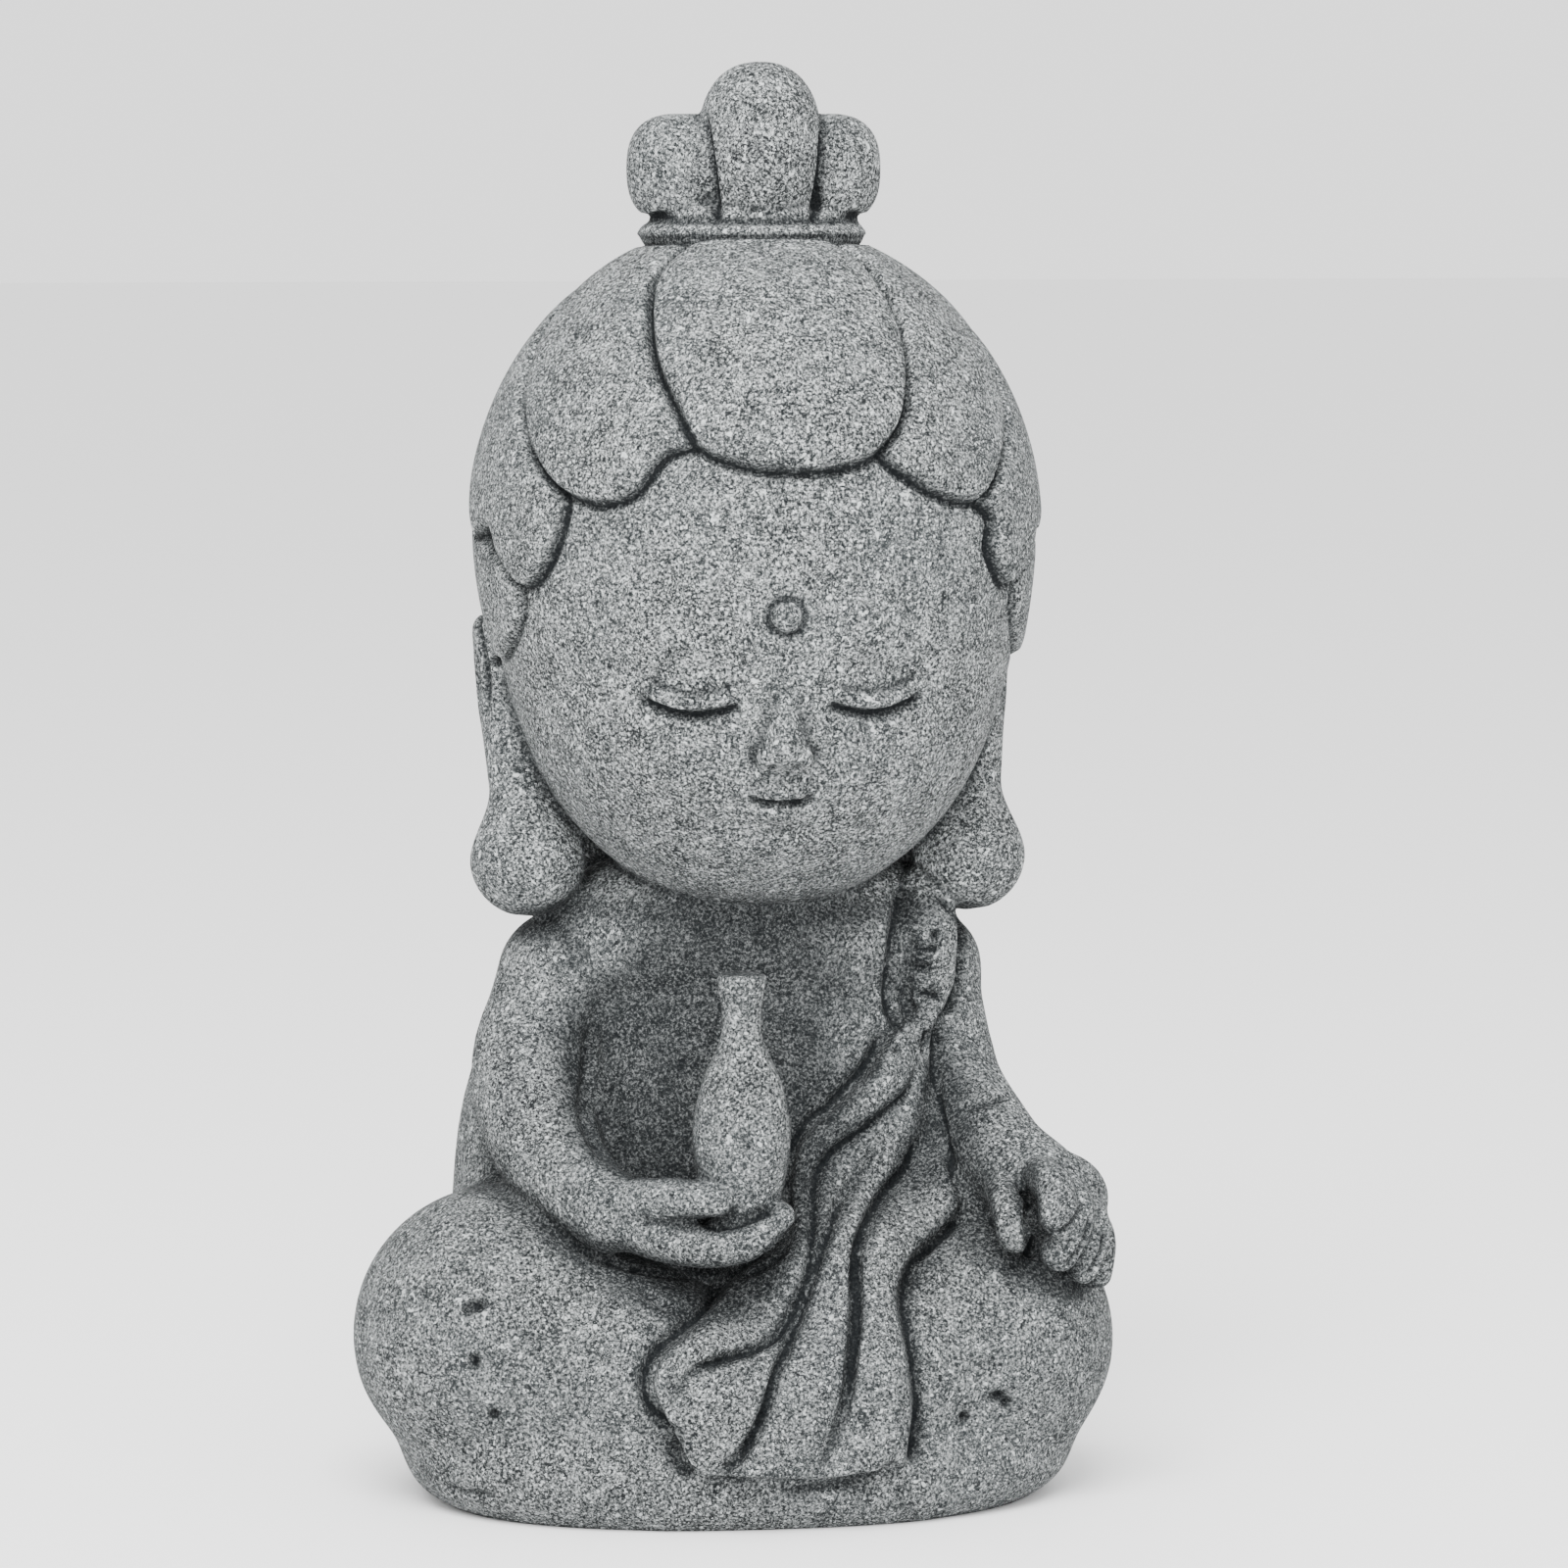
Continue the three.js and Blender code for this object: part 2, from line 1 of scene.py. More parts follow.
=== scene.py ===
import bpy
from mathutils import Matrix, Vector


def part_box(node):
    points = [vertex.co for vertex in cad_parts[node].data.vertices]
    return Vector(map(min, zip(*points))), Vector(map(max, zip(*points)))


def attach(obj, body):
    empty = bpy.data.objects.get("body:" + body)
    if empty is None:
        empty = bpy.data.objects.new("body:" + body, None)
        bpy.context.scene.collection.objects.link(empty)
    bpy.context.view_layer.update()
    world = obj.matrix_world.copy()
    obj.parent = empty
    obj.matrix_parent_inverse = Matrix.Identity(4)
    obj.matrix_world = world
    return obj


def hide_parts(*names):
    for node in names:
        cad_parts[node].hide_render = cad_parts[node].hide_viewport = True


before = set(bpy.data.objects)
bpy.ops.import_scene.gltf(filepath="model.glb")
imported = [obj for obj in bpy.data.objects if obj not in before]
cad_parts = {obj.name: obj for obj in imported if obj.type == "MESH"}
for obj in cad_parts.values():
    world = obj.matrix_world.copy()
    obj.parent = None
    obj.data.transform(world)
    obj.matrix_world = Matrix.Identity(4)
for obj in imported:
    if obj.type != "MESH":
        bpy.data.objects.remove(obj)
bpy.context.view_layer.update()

import math

import bmesh
import bpy
import numpy as np
from bpy.props import FloatProperty, FloatVectorProperty, PointerProperty
from mathutils import Matrix, Vector, geometry
from mathutils.bvhtree import BVHTree

bl_info = {
    "name": "Seated guanyin figurine",
    "version": (1, 0, 0),
    "blender": (4, 5, 0),
    "location": "3D View > Sidebar > Figurine",
    "description": "Carves, colours and lights a small guanyin figure cast in stone composite",
    "category": "Add Mesh",
}

NODE = "guanyin_statue"
PIECE = "guanyin_statue_carved"
MM = 0.001

# The figure is drawn in modules, 130 to its height, x to its left hand, y to its back, z up.
MODULES_HIGH = 130
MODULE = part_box(NODE)[1].z / MODULES_HIGH
BUN_TIP = Vector((0, -3.2, 0))
tip = max(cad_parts[NODE].data.vertices, key=lambda vert: vert.co.z).co
SHIFT = Vector((tip.x, tip.y, 0)) / MODULE - BUN_TIP

# The sketch plane: lines of the front are drawn on it, before they are laid on the stone.
SKETCH_TURN = math.radians(-7)
SKETCH_TILT = math.radians(6)
RIGHT = Vector((math.cos(SKETCH_TURN), math.sin(SKETCH_TURN), 0))
INTO = Vector((
    -math.sin(SKETCH_TURN) * math.cos(SKETCH_TILT),
    math.cos(SKETCH_TURN) * math.cos(SKETCH_TILT),
    -math.sin(SKETCH_TILT),
))
UP = RIGHT.cross(INTO)
SKETCH_STANDOFF = 130

# The camera faces the sketch plane square on.
PICTURE = 1600
PIXELS_PER_MODULE = 11.05
CAMERA_STANDOFF = 600
PICTURE_MIDDLE = RIGHT * 2.86 + UP * 64.1

ROUND = 48  # sides of a round body before the surface is remeshed


# Smooth lines
def smooth_step(value):
    value = np.clip(value, 0, 1)
    return value * value * (3 - 2 * value)


def ramp(value, low, high):
    """0 up to low, 1 from high on, and a smooth rise between."""
    return smooth_step((value - low) / (high - low))


def away_from(points, centre, radii):
    """How far points lie from a centre, where 1 is the skin of an oval of these radii."""
    return np.sqrt((((points - centre) / radii) ** 2).sum(1))


def signed_power(value, power):
    return math.copysign(abs(value) ** power, value)


class Route:
    """A smooth line through points, read by its share of the length."""

    def __init__(self, points, closed=False, steps=16):
        knots = [Vector((*point, 0)) if len(point) == 2 else Vector(point) for point in points]
        if closed:
            knots = [knots[-1], *knots, knots[0], knots[1]]
        else:
            knots = [2 * knots[0] - knots[1], *knots, 2 * knots[-1] - knots[-2]]
        line = []
        for before, start, end, after in zip(knots, knots[1:], knots[2:], knots[3:]):
            handles = self.handles(before, start, end, after)
            line += geometry.interpolate_bezier(start, *handles, end, steps + 1)[:steps]
        self.points = np.array([*line, knots[-2]])
        gaps = np.linalg.norm(np.diff(self.points, axis=0), axis=1)
        self.travel = np.concatenate([[0], np.cumsum(gaps)])
        self.length = float(self.travel[-1])

    @staticmethod
    def handles(before, start, end, after):
        pairs = ((before, start), (start, end), (end, after))
        a, b, c = (max((q - p).length, 1e-6) ** 0.5 for p, q in pairs)
        first = (a * a * end - b * b * before + (2 * a * a + 3 * a * b + b * b) * start) / (3 * a * (a + b))
        second = (c * c * start - b * b * after + (2 * c * c + 3 * c * b + b * b) * end) / (3 * c * (c + b))
        return first, second

    def at(self, share):
        distance = share * self.length
        i = int(np.searchsorted(self.travel, distance, side="right")) - 1
        i = min(max(i, 0), len(self.points) - 2)
        step = self.points[i + 1] - self.points[i]
        part = (distance - self.travel[i]) / (self.travel[i + 1] - self.travel[i])
        return Vector(self.points[i] + part * step), Vector(step).normalized()


# Solids, each a closed shell that joins the list of shells for the remesh to fuse
def ball(shells, sides=ROUND, rings=ROUND * 3 // 4):
    bm = bmesh.new()
    shells.append(bm)
    return bmesh.ops.create_uvsphere(bm, u_segments=sides, v_segments=rings, radius=1)["verts"]


def joined(shells):
    """All the shells as one bmesh."""
    whole = bmesh.new()
    for shell in shells:
        mesh = bpy.data.meshes.new("shell")
        shell.to_mesh(mesh)
        whole.from_mesh(mesh)
        bpy.data.meshes.remove(mesh)
    return whole


def pebble(shells, centre, radii, plan=1.0, profile=1.0):
    """An ellipsoid that can be squared off, in plan and in profile, by powers under 1."""
    for vert in ball(shells):
        x, y, z = vert.co
        level = math.hypot(x, y)
        spread = level**profile if level > 1e-6 else 0
        cos, sin = (x / level, y / level) if level > 1e-6 else (1, 0)
        vert.co = (
            centre[0] + radii[0] * spread * signed_power(cos, plan),
            centre[1] + radii[1] * spread * signed_power(sin, plan),
            centre[2] + radii[2] * signed_power(z, profile),
        )


def limb(shells, points, girths, across=(1, 0, 0)):
    """A ball drawn out along a route, with a half width and half depth at each stage of it."""
    spine = Route(points)
    wanted = Vector(across)

    def girth(share, side):
        place = min(max(share, 0), 1) * (len(girths) - 1)
        low = min(int(place), len(girths) - 2)
        blend = float(smooth_step(place - low))
        return girths[low][side] + blend * (girths[low + 1][side] - girths[low][side])

    caps = [min(girth(end, 0), girth(end, 1)) for end in (0, 1)]
    for vert in ball(shells):
        x, y, z = vert.co
        turn = math.atan2(y, x)
        v = math.acos(min(max(-z, -1), 1)) / math.pi
        eased = 0.6 * v + 0.2 * (1 - math.cos(math.pi * v))
        travel = eased * (spine.length + caps[0] + caps[1]) - caps[0]
        share = min(max(travel / spine.length, 0), 1)
        beyond = travel - share * spine.length
        cap = caps[0] if beyond < 0 else caps[1]
        shrink = math.sqrt(max(0, 1 - (beyond / cap) ** 2))
        place, along = spine.at(share)
        side = (wanted - along * wanted.dot(along)).normalized()
        other = along.cross(side)
        vert.co = (
            place
            + along * beyond
            + side * (math.cos(turn) * shrink * girth(share, 0))
            + other * (math.sin(turn) * shrink * girth(share, 1))
        )


def turned(shells, profile, centre):
    """Spins an outline of (radius, height) points round an upright axis."""
    bm = bmesh.new()
    shells.append(bm)
    verts = [bm.verts.new((centre[0] + r, centre[1], centre[2] + z)) for r, z in profile]
    edges = [bm.edges.new(pair) for pair in zip(verts, verts[1:])]
    bmesh.ops.spin(
        bm, geom=verts + edges, cent=centre, axis=(0, 0, 1), angle=2 * math.pi, steps=ROUND, use_merge=True
    )
    bmesh.ops.remove_doubles(bm, verts=bm.verts[:], dist=1e-5)
    bmesh.ops.recalc_face_normals(bm, faces=bm.faces[:])


# Head
HEAD_MIDDLE = np.array([0, -2, 84.0])
SKULL = (np.array([0, -1.5, 87.8]), np.array([24.7, 24.1, 26.5]))
FACE_BALL = (np.array([0, -2.6, 78.3]), np.array([22.6, 22.4, 24.8]))
HEAD_BLEND = 3


def way_out(ellipsoid, ways):
    """How far it is from the head's middle to the skin of an ellipsoid, each way."""
    centre, radii = ellipsoid
    start = (HEAD_MIDDLE - centre) / radii
    step = ways / radii
    a, b, c = (step * step).sum(1), step @ start, start @ start - 1
    return (-b + np.sqrt(b * b - a * c)) / a


def head_surface(ways):
    """Skull and face, two ellipsoids run smoothly together as seen from one middle point."""
    skull, face = way_out(SKULL, ways), way_out(FACE_BALL, ways)
    share = np.clip(0.5 + (skull - face) / (2 * HEAD_BLEND), 0, 1)
    distance = face + share * (skull - face) + HEAD_BLEND * share * (1 - share)
    return HEAD_MIDDLE + distance[:, None] * ways


def make_head(shells):
    verts = ball(shells, 2 * ROUND, 2 * ROUND)
    for vert, place in zip(verts, head_surface(np.array([vert.co for vert in verts]))):
        vert.co = place
    limb(shells, [[0, 5, 78], [0, 8.5, 64], [0, 11, 46]], [[21.5, 12], [19.5, 9.5], [15, 7]])


# Bun: the level where its cord starts, how far back its axis is, and the azimuths of its small loops
TIE_BOTTOM = 113.2
BUN_AXIS = 0.5
BUN_LOOPS = (78, 138, 222, 282)
BUN_FRONT = (0.3, -3.2)


def make_bun(shells, sizes):
    tie, radius = sizes.tie_width / MM, sizes.tie_radius / MM
    edge = 0.45 * tie
    profile = [
        (0, -3), (radius - 1.4, -3), (radius - 1.1, -0.3), (radius - edge, 0), (radius, 0.5 * tie),
        (radius - edge, tie), (radius - 1.2, tie + 0.3), (radius - 2.2, tie + 1.2), (0, tie + 1.2),
    ]
    turned(shells, profile, (0, BUN_AXIS, TIE_BOTTOM))
    foot = TIE_BOTTOM + tie
    crown = MODULES_HIGH - foot
    pebble(shells, (*BUN_FRONT, foot + 0.46 * crown), (5.6, 6.4, 0.54 * crown), profile=0.85)
    tall = 0.35 * crown
    out = 0.66 * radius
    for azimuth in BUN_LOOPS:
        angle = math.radians(azimuth)
        centre = (out * math.sin(angle), BUN_AXIS - out * math.cos(angle), foot + 0.92 * tall)
        pebble(shells, centre, (4.7, 4.7, tall), profile=0.78)


# Ears: the spine of each, from its top to its lobe
EARS = [
    [[-23.6, 2.6, 78.6], [-23, 1.6, 72], [-21.7, 0, 65.8], [-20.7, -1, 58]],
    [[22.3, 2.6, 78.6], [21.6, 1.6, 72], [20.4, 0, 65.8], [19.7, -1, 58]],
]


def make_ears(shells, sizes):
    lobe = sizes.earlobe / MM
    for spine in EARS:
        limb(shells, spine, [[1.8, 4.4], [2, 4], [2.6, 3], [lobe, lobe]])


# Face: a plain calm one of the maker's own, closed eyes, small nose and mouth, a child's proportions
FACE_TOP = 95
CHIN = 56


def face_level(share):
    return CHIN + share * (FACE_TOP - CHIN)


MARK_LEVEL = face_level(0.66)
EYE_LEVEL = face_level(0.46)
NOSE_LEVEL = face_level(0.33)
MOUTH_LEVEL = face_level(0.235)
EYE_SPAN = 10
EYE_OFFSET = 8.4
EYE_SAG = 1.1
MOUTH_SPAN = 5.2
MARK_RING = 1.65
FACE_EDGE, FACE_FULL = 6, 13  # how far forward the soft forms start and are whole
# Soft forms: distance from the middle line, level, half width, half height and rise
SOFT_FORMS = {
    "eye socket": (EYE_OFFSET, EYE_LEVEL + 0.6, 5.6, 3.4, -0.9),
    "closed lid": (EYE_OFFSET, EYE_LEVEL + 0.4, 4.6, 1.7, 0.85),
    "brow": (EYE_OFFSET + 0.6, EYE_LEVEL + 5.6, 6, 1.7, 0.4),
    "cheek": (11.5, MOUTH_LEVEL + 3.2, 6, 5, 0.6),
    "upper lip": (0, MOUTH_LEVEL + 0.95, 2.4, 0.75, 0.85),
    "lower lip": (0, MOUTH_LEVEL - 1.15, 2.1, 0.85, 0.8),
    "dip under the lip": (0, MOUTH_LEVEL - 3.0, 2.4, 0.9, -0.3),
    "chin": (0, CHIN + 4.2, 3.6, 2.2, 0.45),
}


def on_face(x, z, lift=0.0):
    """The point of the face at a distance from its middle line and a height, lifted off it."""
    y = -24.0
    for _ in range(8):
        way = np.array([x, y, z]) - HEAD_MIDDLE
        y = head_surface((way / np.linalg.norm(way))[None])[0][1]
    return [x, y - lift, z]


def make_nose(shells):
    bridge = [on_face(0, EYE_LEVEL + 0.5, -0.7), on_face(0, NOSE_LEVEL + 1.3, -0.1)]
    limb(shells, bridge, [[0.9, 1.3], [1.9, 2.3]])
    for hand in (-1, 1):
        pebble(shells, on_face(1.5 * hand, NOSE_LEVEL + 0.4, 0.3), (1.1, 1.3, 1))
    pebble(shells, on_face(0, MARK_LEVEL), (1.25, 0.9, 1.25))


# Body and arms
def make_body(shells):
    pebble(shells, (0, 2, 32), (18.4, 12.8, 27), plan=0.9, profile=0.9)
    pebble(shells, (0, 2, 50), (19.4, 11.6, 9.6), profile=0.9)
    pebble(shells, (-1.2, 6, 21), (26.2, 14, 33), plan=0.85, profile=0.8)
    pebble(shells, (-23.5, -5.6, 15.3), (13.7, 14.4, 13.5))
    pebble(shells, (18.9, -5.8, 14), (13.5, 14.2, 13.5))
    pebble(shells, (-1.9, -3, 4.4), (31, 21.2, 7.6), plan=0.85, profile=0.8)
    pebble(shells, (6, -9.5, 19), (11, 9, 9.5))
    pebble(shells, (18.4, -5.5, 27), (4.6, 6.5, 4.6))
    shins = [
        ([[-23, -6.5, 14.8], [-13, -12, 12], [-2, -15.5, 9.6]], [[13.3, 13], [11, 10.6], [8.6, 8.4]]),
        ([[18.4, -6.5, 13.6], [9, -12.5, 11.5], [1, -15.5, 9.2]], [[13.2, 12.8], [10.8, 10.2], [8.4, 8.2]]),
    ]
    thighs = [
        ([[-13, 8, 13], [-19, 2, 14], [-23, -4, 14.8]], [[12, 12], [13, 12.6], [13.4, 13.2]]),
        ([[11, 8, 13], [15.5, 2, 13.4], [18.4, -4, 13.8]], [[12, 12], [12.8, 12.4], [13.2, 13]]),
    ]
    for spine, girths in shins + thighs:
        limb(shells, spine, girths, across=(0, 0, 1))


PALM = (-3.2, -18.6, 27.1)  # where the vase stands


def make_vase_arm(shells):
    limb(
        shells,
        [[-17, 1, 46.8], [-20.2, -1.6, 41], [-20.4, -3.8, 36.6], [-19.3, -7.6, 32.1], [-17, -11.6, 29.1],
         [-14.6, -14.8, 27.7]],
        [[6.4, 6.4], [5.4, 5.6], [5.6, 5.6], [5.1, 5.1], [4.3, 4.5], [3.6, 3.8]],
    )
    limb(
        shells,
        [[-14.4, -14, 27.6], [-8.7, -18.6, 25.7], [-5.1, -20.9, 25.6], [-2.3, -21.4, 26.4], [0.1, -21, 28.2]],
        [[3.4, 3.4], [2.5, 3.2], [2.1, 3], [1.9, 2.6], [1.3, 1.6]],
        across=(0, 0, 1),
    )
    limb(
        shells,
        [[-13.2, -16.4, 28.8], [-9.2, -20, 29.7], [-5.8, -22, 29.8]],
        [[2.2, 2.2], [1.9, 1.9], [1.5, 1.5]],
    )


def make_vase(shells, sizes):
    tall, wide, neck = sizes.vase_height / MM, sizes.vase_radius / MM, sizes.vase_neck / MM
    outline = Route([
        (0.62 * wide, 0), (0.86 * wide, 0.14 * tall), (wide, 0.37 * tall), (0.8 * wide, 0.57 * tall),
        (neck * 1.1, 0.74 * tall), (neck, 0.82 * tall), (neck * 1.32, tall),
    ])
    curve = [tuple(outline.at(share)[0][:2]) for share in np.linspace(0, 1, 30)]
    turned(shells, [(0, 0), *curve, (0, tall)], PALM)


# Fingers of the hand on the knee, thumb first: spine and share of a full girth
FINGERS = [
    ([[20.9, -13.5, 29.4], [21, -17.6, 27.5], [21.4, -18.7, 25.5]], 0.92),
    ([[24.1, -14.5, 30.4], [24.9, -19.5, 29.6], [25, -20.5, 27.4]], 1),
    ([[26.1, -14, 29.4], [27, -18.2, 27.4], [25.4, -18.8, 23.9]], 1),
    ([[27.7, -12.5, 28.5], [29, -16.3, 25.6], [27.9, -16.3, 22]], 0.85),
    ([[28.6, -10.5, 27.4], [30, -13.8, 24.2], [29.7, -13.8, 21]], 0.8),
]


def make_knee_arm(shells, sizes):
    limb(
        shells,
        [[16, 2, 47.2], [16.8, 1, 42.8], [18, -1, 38], [19, -3.5, 35.5], [20.2, -6.5, 33.4],
         [21.7, -9.5, 31], [23.9, -12, 29.2]],
        [[5.4, 6], [4.8, 5.4], [4.6, 5], [4.3, 4.6], [4.3, 4.4], [4.4, 4.4], [4.6, 4]],
    )
    pebble(shells, (26, -12, 27.6), (5, 4.6, 4.4))
    for spine, girth in FINGERS:
        round_girth = [girth * sizes.finger / MM] * 2
        limb(shells, spine, [round_girth, round_girth])


# Robe: its left edge, the valleys between its folds and its right edge, from the knot to the hem
VALLEYS = [
    [[13.6, 42.6], [12.6, 41.2], [10.7, 38.1], [7.6, 34.8], [5.6, 33.3], [4.3, 31.5], [3.8, 29.8], [3.5, 27],
     [3.6, 24], [1.1, 21.6], [-1.5, 19.9], [-4, 16.8], [-6, 15], [-7.8, 13.5], [-8.7, 11.2]],
    [[14.5, 42.6], [14.9, 38.9], [14, 36.3], [12.3, 34.6], [9.9, 32.7], [8, 31.5], [6.4, 30], [5.6, 28.3],
     [5.5, 26], [5.3, 23.2], [5, 20.4], [3.2, 16.4], [0.5, 14.1], [-1.8, 13.4], [-4.1, 12.7], [-6.2, 11.1],
     [-7.6, 8.3]],
    [[15.4, 42.6], [15, 37.2], [12.8, 33.6], [10.1, 29.2], [9, 28.2], [7.8, 26.6], [7.1, 25], [5.6, 21],
     [4.8, 18.7], [3.9, 16.1], [3, 13.9], [2.1, 11.8], [1.4, 9.5], [0.6, 7.5], [-0.3, 5.8], [-1.2, 4.4],
     [-2.6, 3.5], [-4.8, 3.1]],
    [[16.2, 42.6], [15.9, 36.4], [15.4, 32.1], [14.7, 31], [13.8, 29.2], [12.3, 27.6], [10.8, 25.7],
     [9.9, 24], [9.3, 22.1], [9.2, 19.8], [9.3, 17.5], [9.1, 15], [8.8, 12.5], [8.5, 10.2], [7.8, 7.7],
     [6.9, 5.4], [5.9, 2.6]],
    [[16.9, 42.6], [16.8, 36.5], [17.2, 32.4], [18, 29.7], [18.6, 27.3], [18.6, 25.7], [17, 24], [15.2, 22.7],
     [13.6, 20.8], [12.9, 18.1], [13.6, 13.6], [14.1, 9], [14, 6.6], [13.6, 3.6]],
]
FOLD_WIDTH = 4  # narrower folds stand off less
FOLD_COLUMNS = 9
FOLD_SQUARENESS = 0.5
ROBE_ROWS = 40
ROBE_ROOT = 5  # how far the cloth is sunk into the body
ROBE_SMOOTHINGS = 14


def lay(tree, u, v):
    """The depth, from the sketch plane, at which the stone is met."""
    start = RIGHT * u + UP * v - INTO * SKETCH_STANDOFF
    place, _, _, distance = tree.ray_cast(start, INTO)
    if place is None:
        raise RuntimeError(f"no stone behind the sketch point {u:.1f}, {v:.1f}")
    return start, distance


def make_robe(shells, tree, sizes):
    """Lays the cloth over the body as a grid, swells its folds and gives it thickness."""
    rails = [Route(line) for line in VALLEYS]
    columns = FOLD_COLUMNS * (len(rails) - 1)
    starts, lifts = {}, {}
    depths = np.zeros((columns + 1, ROBE_ROWS + 1))
    for column in range(columns + 1):
        fold = min(column // FOLD_COLUMNS, len(rails) - 2)
        share = column / FOLD_COLUMNS - fold
        for row in range(ROBE_ROWS + 1):
            left, right = (rail.at(row / ROBE_ROWS)[0] for rail in rails[fold : fold + 2])
            u, v, _ = left.lerp(right, share)
            fullness = min(1, (left - right).length / FOLD_WIDTH)
            starts[column, row], depths[column, row] = lay(tree, u, v)
            bulge = math.sin(math.pi * share) ** FOLD_SQUARENESS
            lifts[column, row] = (sizes.robe_thickness + fullness * sizes.fold_rise * bulge) / MM
    for _ in range(ROBE_SMOOTHINGS):
        padded = np.pad(depths, 1, mode="edge")
        beside = padded[:-2, 1:-1] + padded[2:, 1:-1] + padded[1:-1, :-2] + padded[1:-1, 2:]
        depths = np.minimum(depths, (depths + beside) / 5)
    cloth = bmesh.new()
    grid = bmesh.ops.create_grid(cloth, x_segments=columns, y_segments=ROBE_ROWS, size=1)["verts"]
    cells = {}
    for vert in grid:
        cell = (round((vert.co.x + 1) / 2 * columns), round((1 - vert.co.y) / 2 * ROBE_ROWS))
        cells[vert] = cell
        vert.co = starts[cell] + INTO * float(depths[cell] - lifts[cell])
    back = bmesh.ops.extrude_face_region(cloth, geom=cloth.faces[:], use_keep_orig=True)["geom"]
    behind = [item for item in back if isinstance(item, bmesh.types.BMVert)]
    bmesh.ops.translate(cloth, verts=behind, vec=INTO * (ROBE_ROOT + sizes.robe_thickness / MM))
    bmesh.ops.recalc_face_normals(cloth, faces=cloth.faces[:])
    shells.append(cloth)


# The knotted strap over the shoulder
STRAP = [[15.6, 54.8], [15.7, 50.4], [15.6, 46.5], [15.4, 42.6]]
STRAP_GIRTHS = [[2.6, 1.8], [3, 2], [2.9, 2], [1.8, 1.8]]
STRAP_LIFT = 0.4


def make_strap(shells, tree):
    spine = []
    for u, v in STRAP:
        start, depth = lay(tree, u, v)
        spine.append(start + INTO * (depth - STRAP_LIFT))
    limb(shells, spine, STRAP_GIRTHS)


# Carving
LINE_STEP = 0.2  # between the points of a line laid on the stone
RUN = 0.6  # share of the way to its neighbours' mean that a point is moved in one pass
BATCH = 4000  # points measured at one time


def read(rows, name, width, kind=np.float32):
    """One value of all the mesh's points, edges or directions, a row for each."""
    values = np.empty(len(rows) * width, kind)
    rows.foreach_get(name, values)
    return values.reshape(-1, width)


class Clay:
    """The fused surface while it is carved: its points, their outward directions and their dark wash and painted
    shade.
    """

    def __init__(self, mesh):
        self.mesh = mesh
        self.points = read(mesh.vertices, "co", 3).astype(float)
        self.edges = read(mesh.edges, "vertices", 2, np.int32)
        self.neighbours = np.bincount(self.edges.ravel(), minlength=len(self.points))
        self.wash_and_shade = np.zeros(len(self.points), np.float32)
        self.turn_normals()
        self.faces = [face.vertices[:] for face in mesh.polygons]
        self.grow_tree()

    def grow_tree(self):
        self.tree = BVHTree.FromPolygons(self.points.tolist(), self.faces)

    def turn_normals(self):
        self.mesh.vertices.foreach_set("co", self.points.astype(np.float32).ravel())
        self.mesh.update()
        self.normals = read(self.mesh.vertex_normals, "vector", 3).astype(float)

    def averaged(self, values):
        """Each point's mean of its neighbours' values."""
        if values.ndim > 1:
            return np.stack([self.averaged(column) for column in values.T], 1)
        a, b = self.edges.T
        count = len(values)
        return (np.bincount(a, values[b], count) + np.bincount(b, values[a], count)) / self.neighbours

    def store_wash_and_shade(self):
        attribute = self.mesh.attributes.get("wash_and_shade") or self.mesh.attributes.new("wash_and_shade", "FLOAT", "POINT")
        attribute.data.foreach_set("value", self.wash_and_shade)

    def relax(self, weights, passes):
        """Smooths by a weight for each point, to run forms together."""
        for _ in range(passes):
            self.points += weights[:, None] * (self.averaged(self.points) - self.points)
        self.turn_normals()

    def line(self, sketch, right=RIGHT, up=UP, into=INTO):
        """Lays a line of the sketch plane, or of another, on the stone, as close-set points."""
        route = Route(sketch)
        points = []
        for share in np.linspace(0, 1, max(2, int(route.length / LINE_STEP))):
            u, v, _ = route.at(share)[0]
            place = self.tree.ray_cast(right * u + up * v - into * SKETCH_STANDOFF, into)[0]
            if place is not None:
                points.append(place)
        return np.array(points)

    def nearness(self, line, reach):
        """The points within reach of a line, how far off they are, and their share along it."""
        low, high = line.min(0) - reach, line.max(0) + reach
        near = np.flatnonzero(((self.points > low) & (self.points < high)).all(1))
        gaps = np.empty(len(near))
        shares = np.empty(len(near))
        for start in range(0, len(near), BATCH):
            part = self.points[near[start : start + BATCH]]
            squares = ((part[:, None, :] - line[None]) ** 2).sum(2)
            closest = squares.argmin(1)
            gaps[start : start + BATCH] = np.sqrt(squares[np.arange(len(part)), closest])
            shares[start : start + BATCH] = closest / max(1, len(line) - 1)
        held = gaps < reach
        return near[held], gaps[held], shares[held]

    def groove(self, line, reach, depth, wash_and_shade=0.9, taper=(0.0, 0.0)):
        """Cuts a groove along a laid line; taper gives the shares over which it runs out at its ends."""
        near, gaps, shares = self.nearness(line, reach)
        strength = np.ones(len(near))
        if taper[0]:
            strength *= smooth_step(shares / taper[0])
        if taper[1]:
            strength *= smooth_step((1 - shares) / taper[1])
        cut = smooth_step(1 - gaps / reach) * strength
        self.points[near] -= self.normals[near] * (depth * cut)[:, None]
        # Darkens the groove with dark wash and painted shade in the crease.
        self.wash_and_shade[near] = np.maximum(self.wash_and_shade[near], wash_and_shade * np.clip(1.3 * cut, 0, 1))

    def dent(self, centre, radii, depth, wash_and_shade=1.0):
        """Presses an oval hollow, or raises a mound where depth is negative."""
        away = away_from(self.points, centre, radii)
        near = np.flatnonzero(away < 1)
        cut = smooth_step(1.25 * (1 - away[near]))
        self.points[near] -= self.normals[near] * (depth * cut)[:, None]
        # Darkens the hollow with dark wash and painted shade.
        self.wash_and_shade[near] = np.maximum(self.wash_and_shade[near], wash_and_shade * cut)


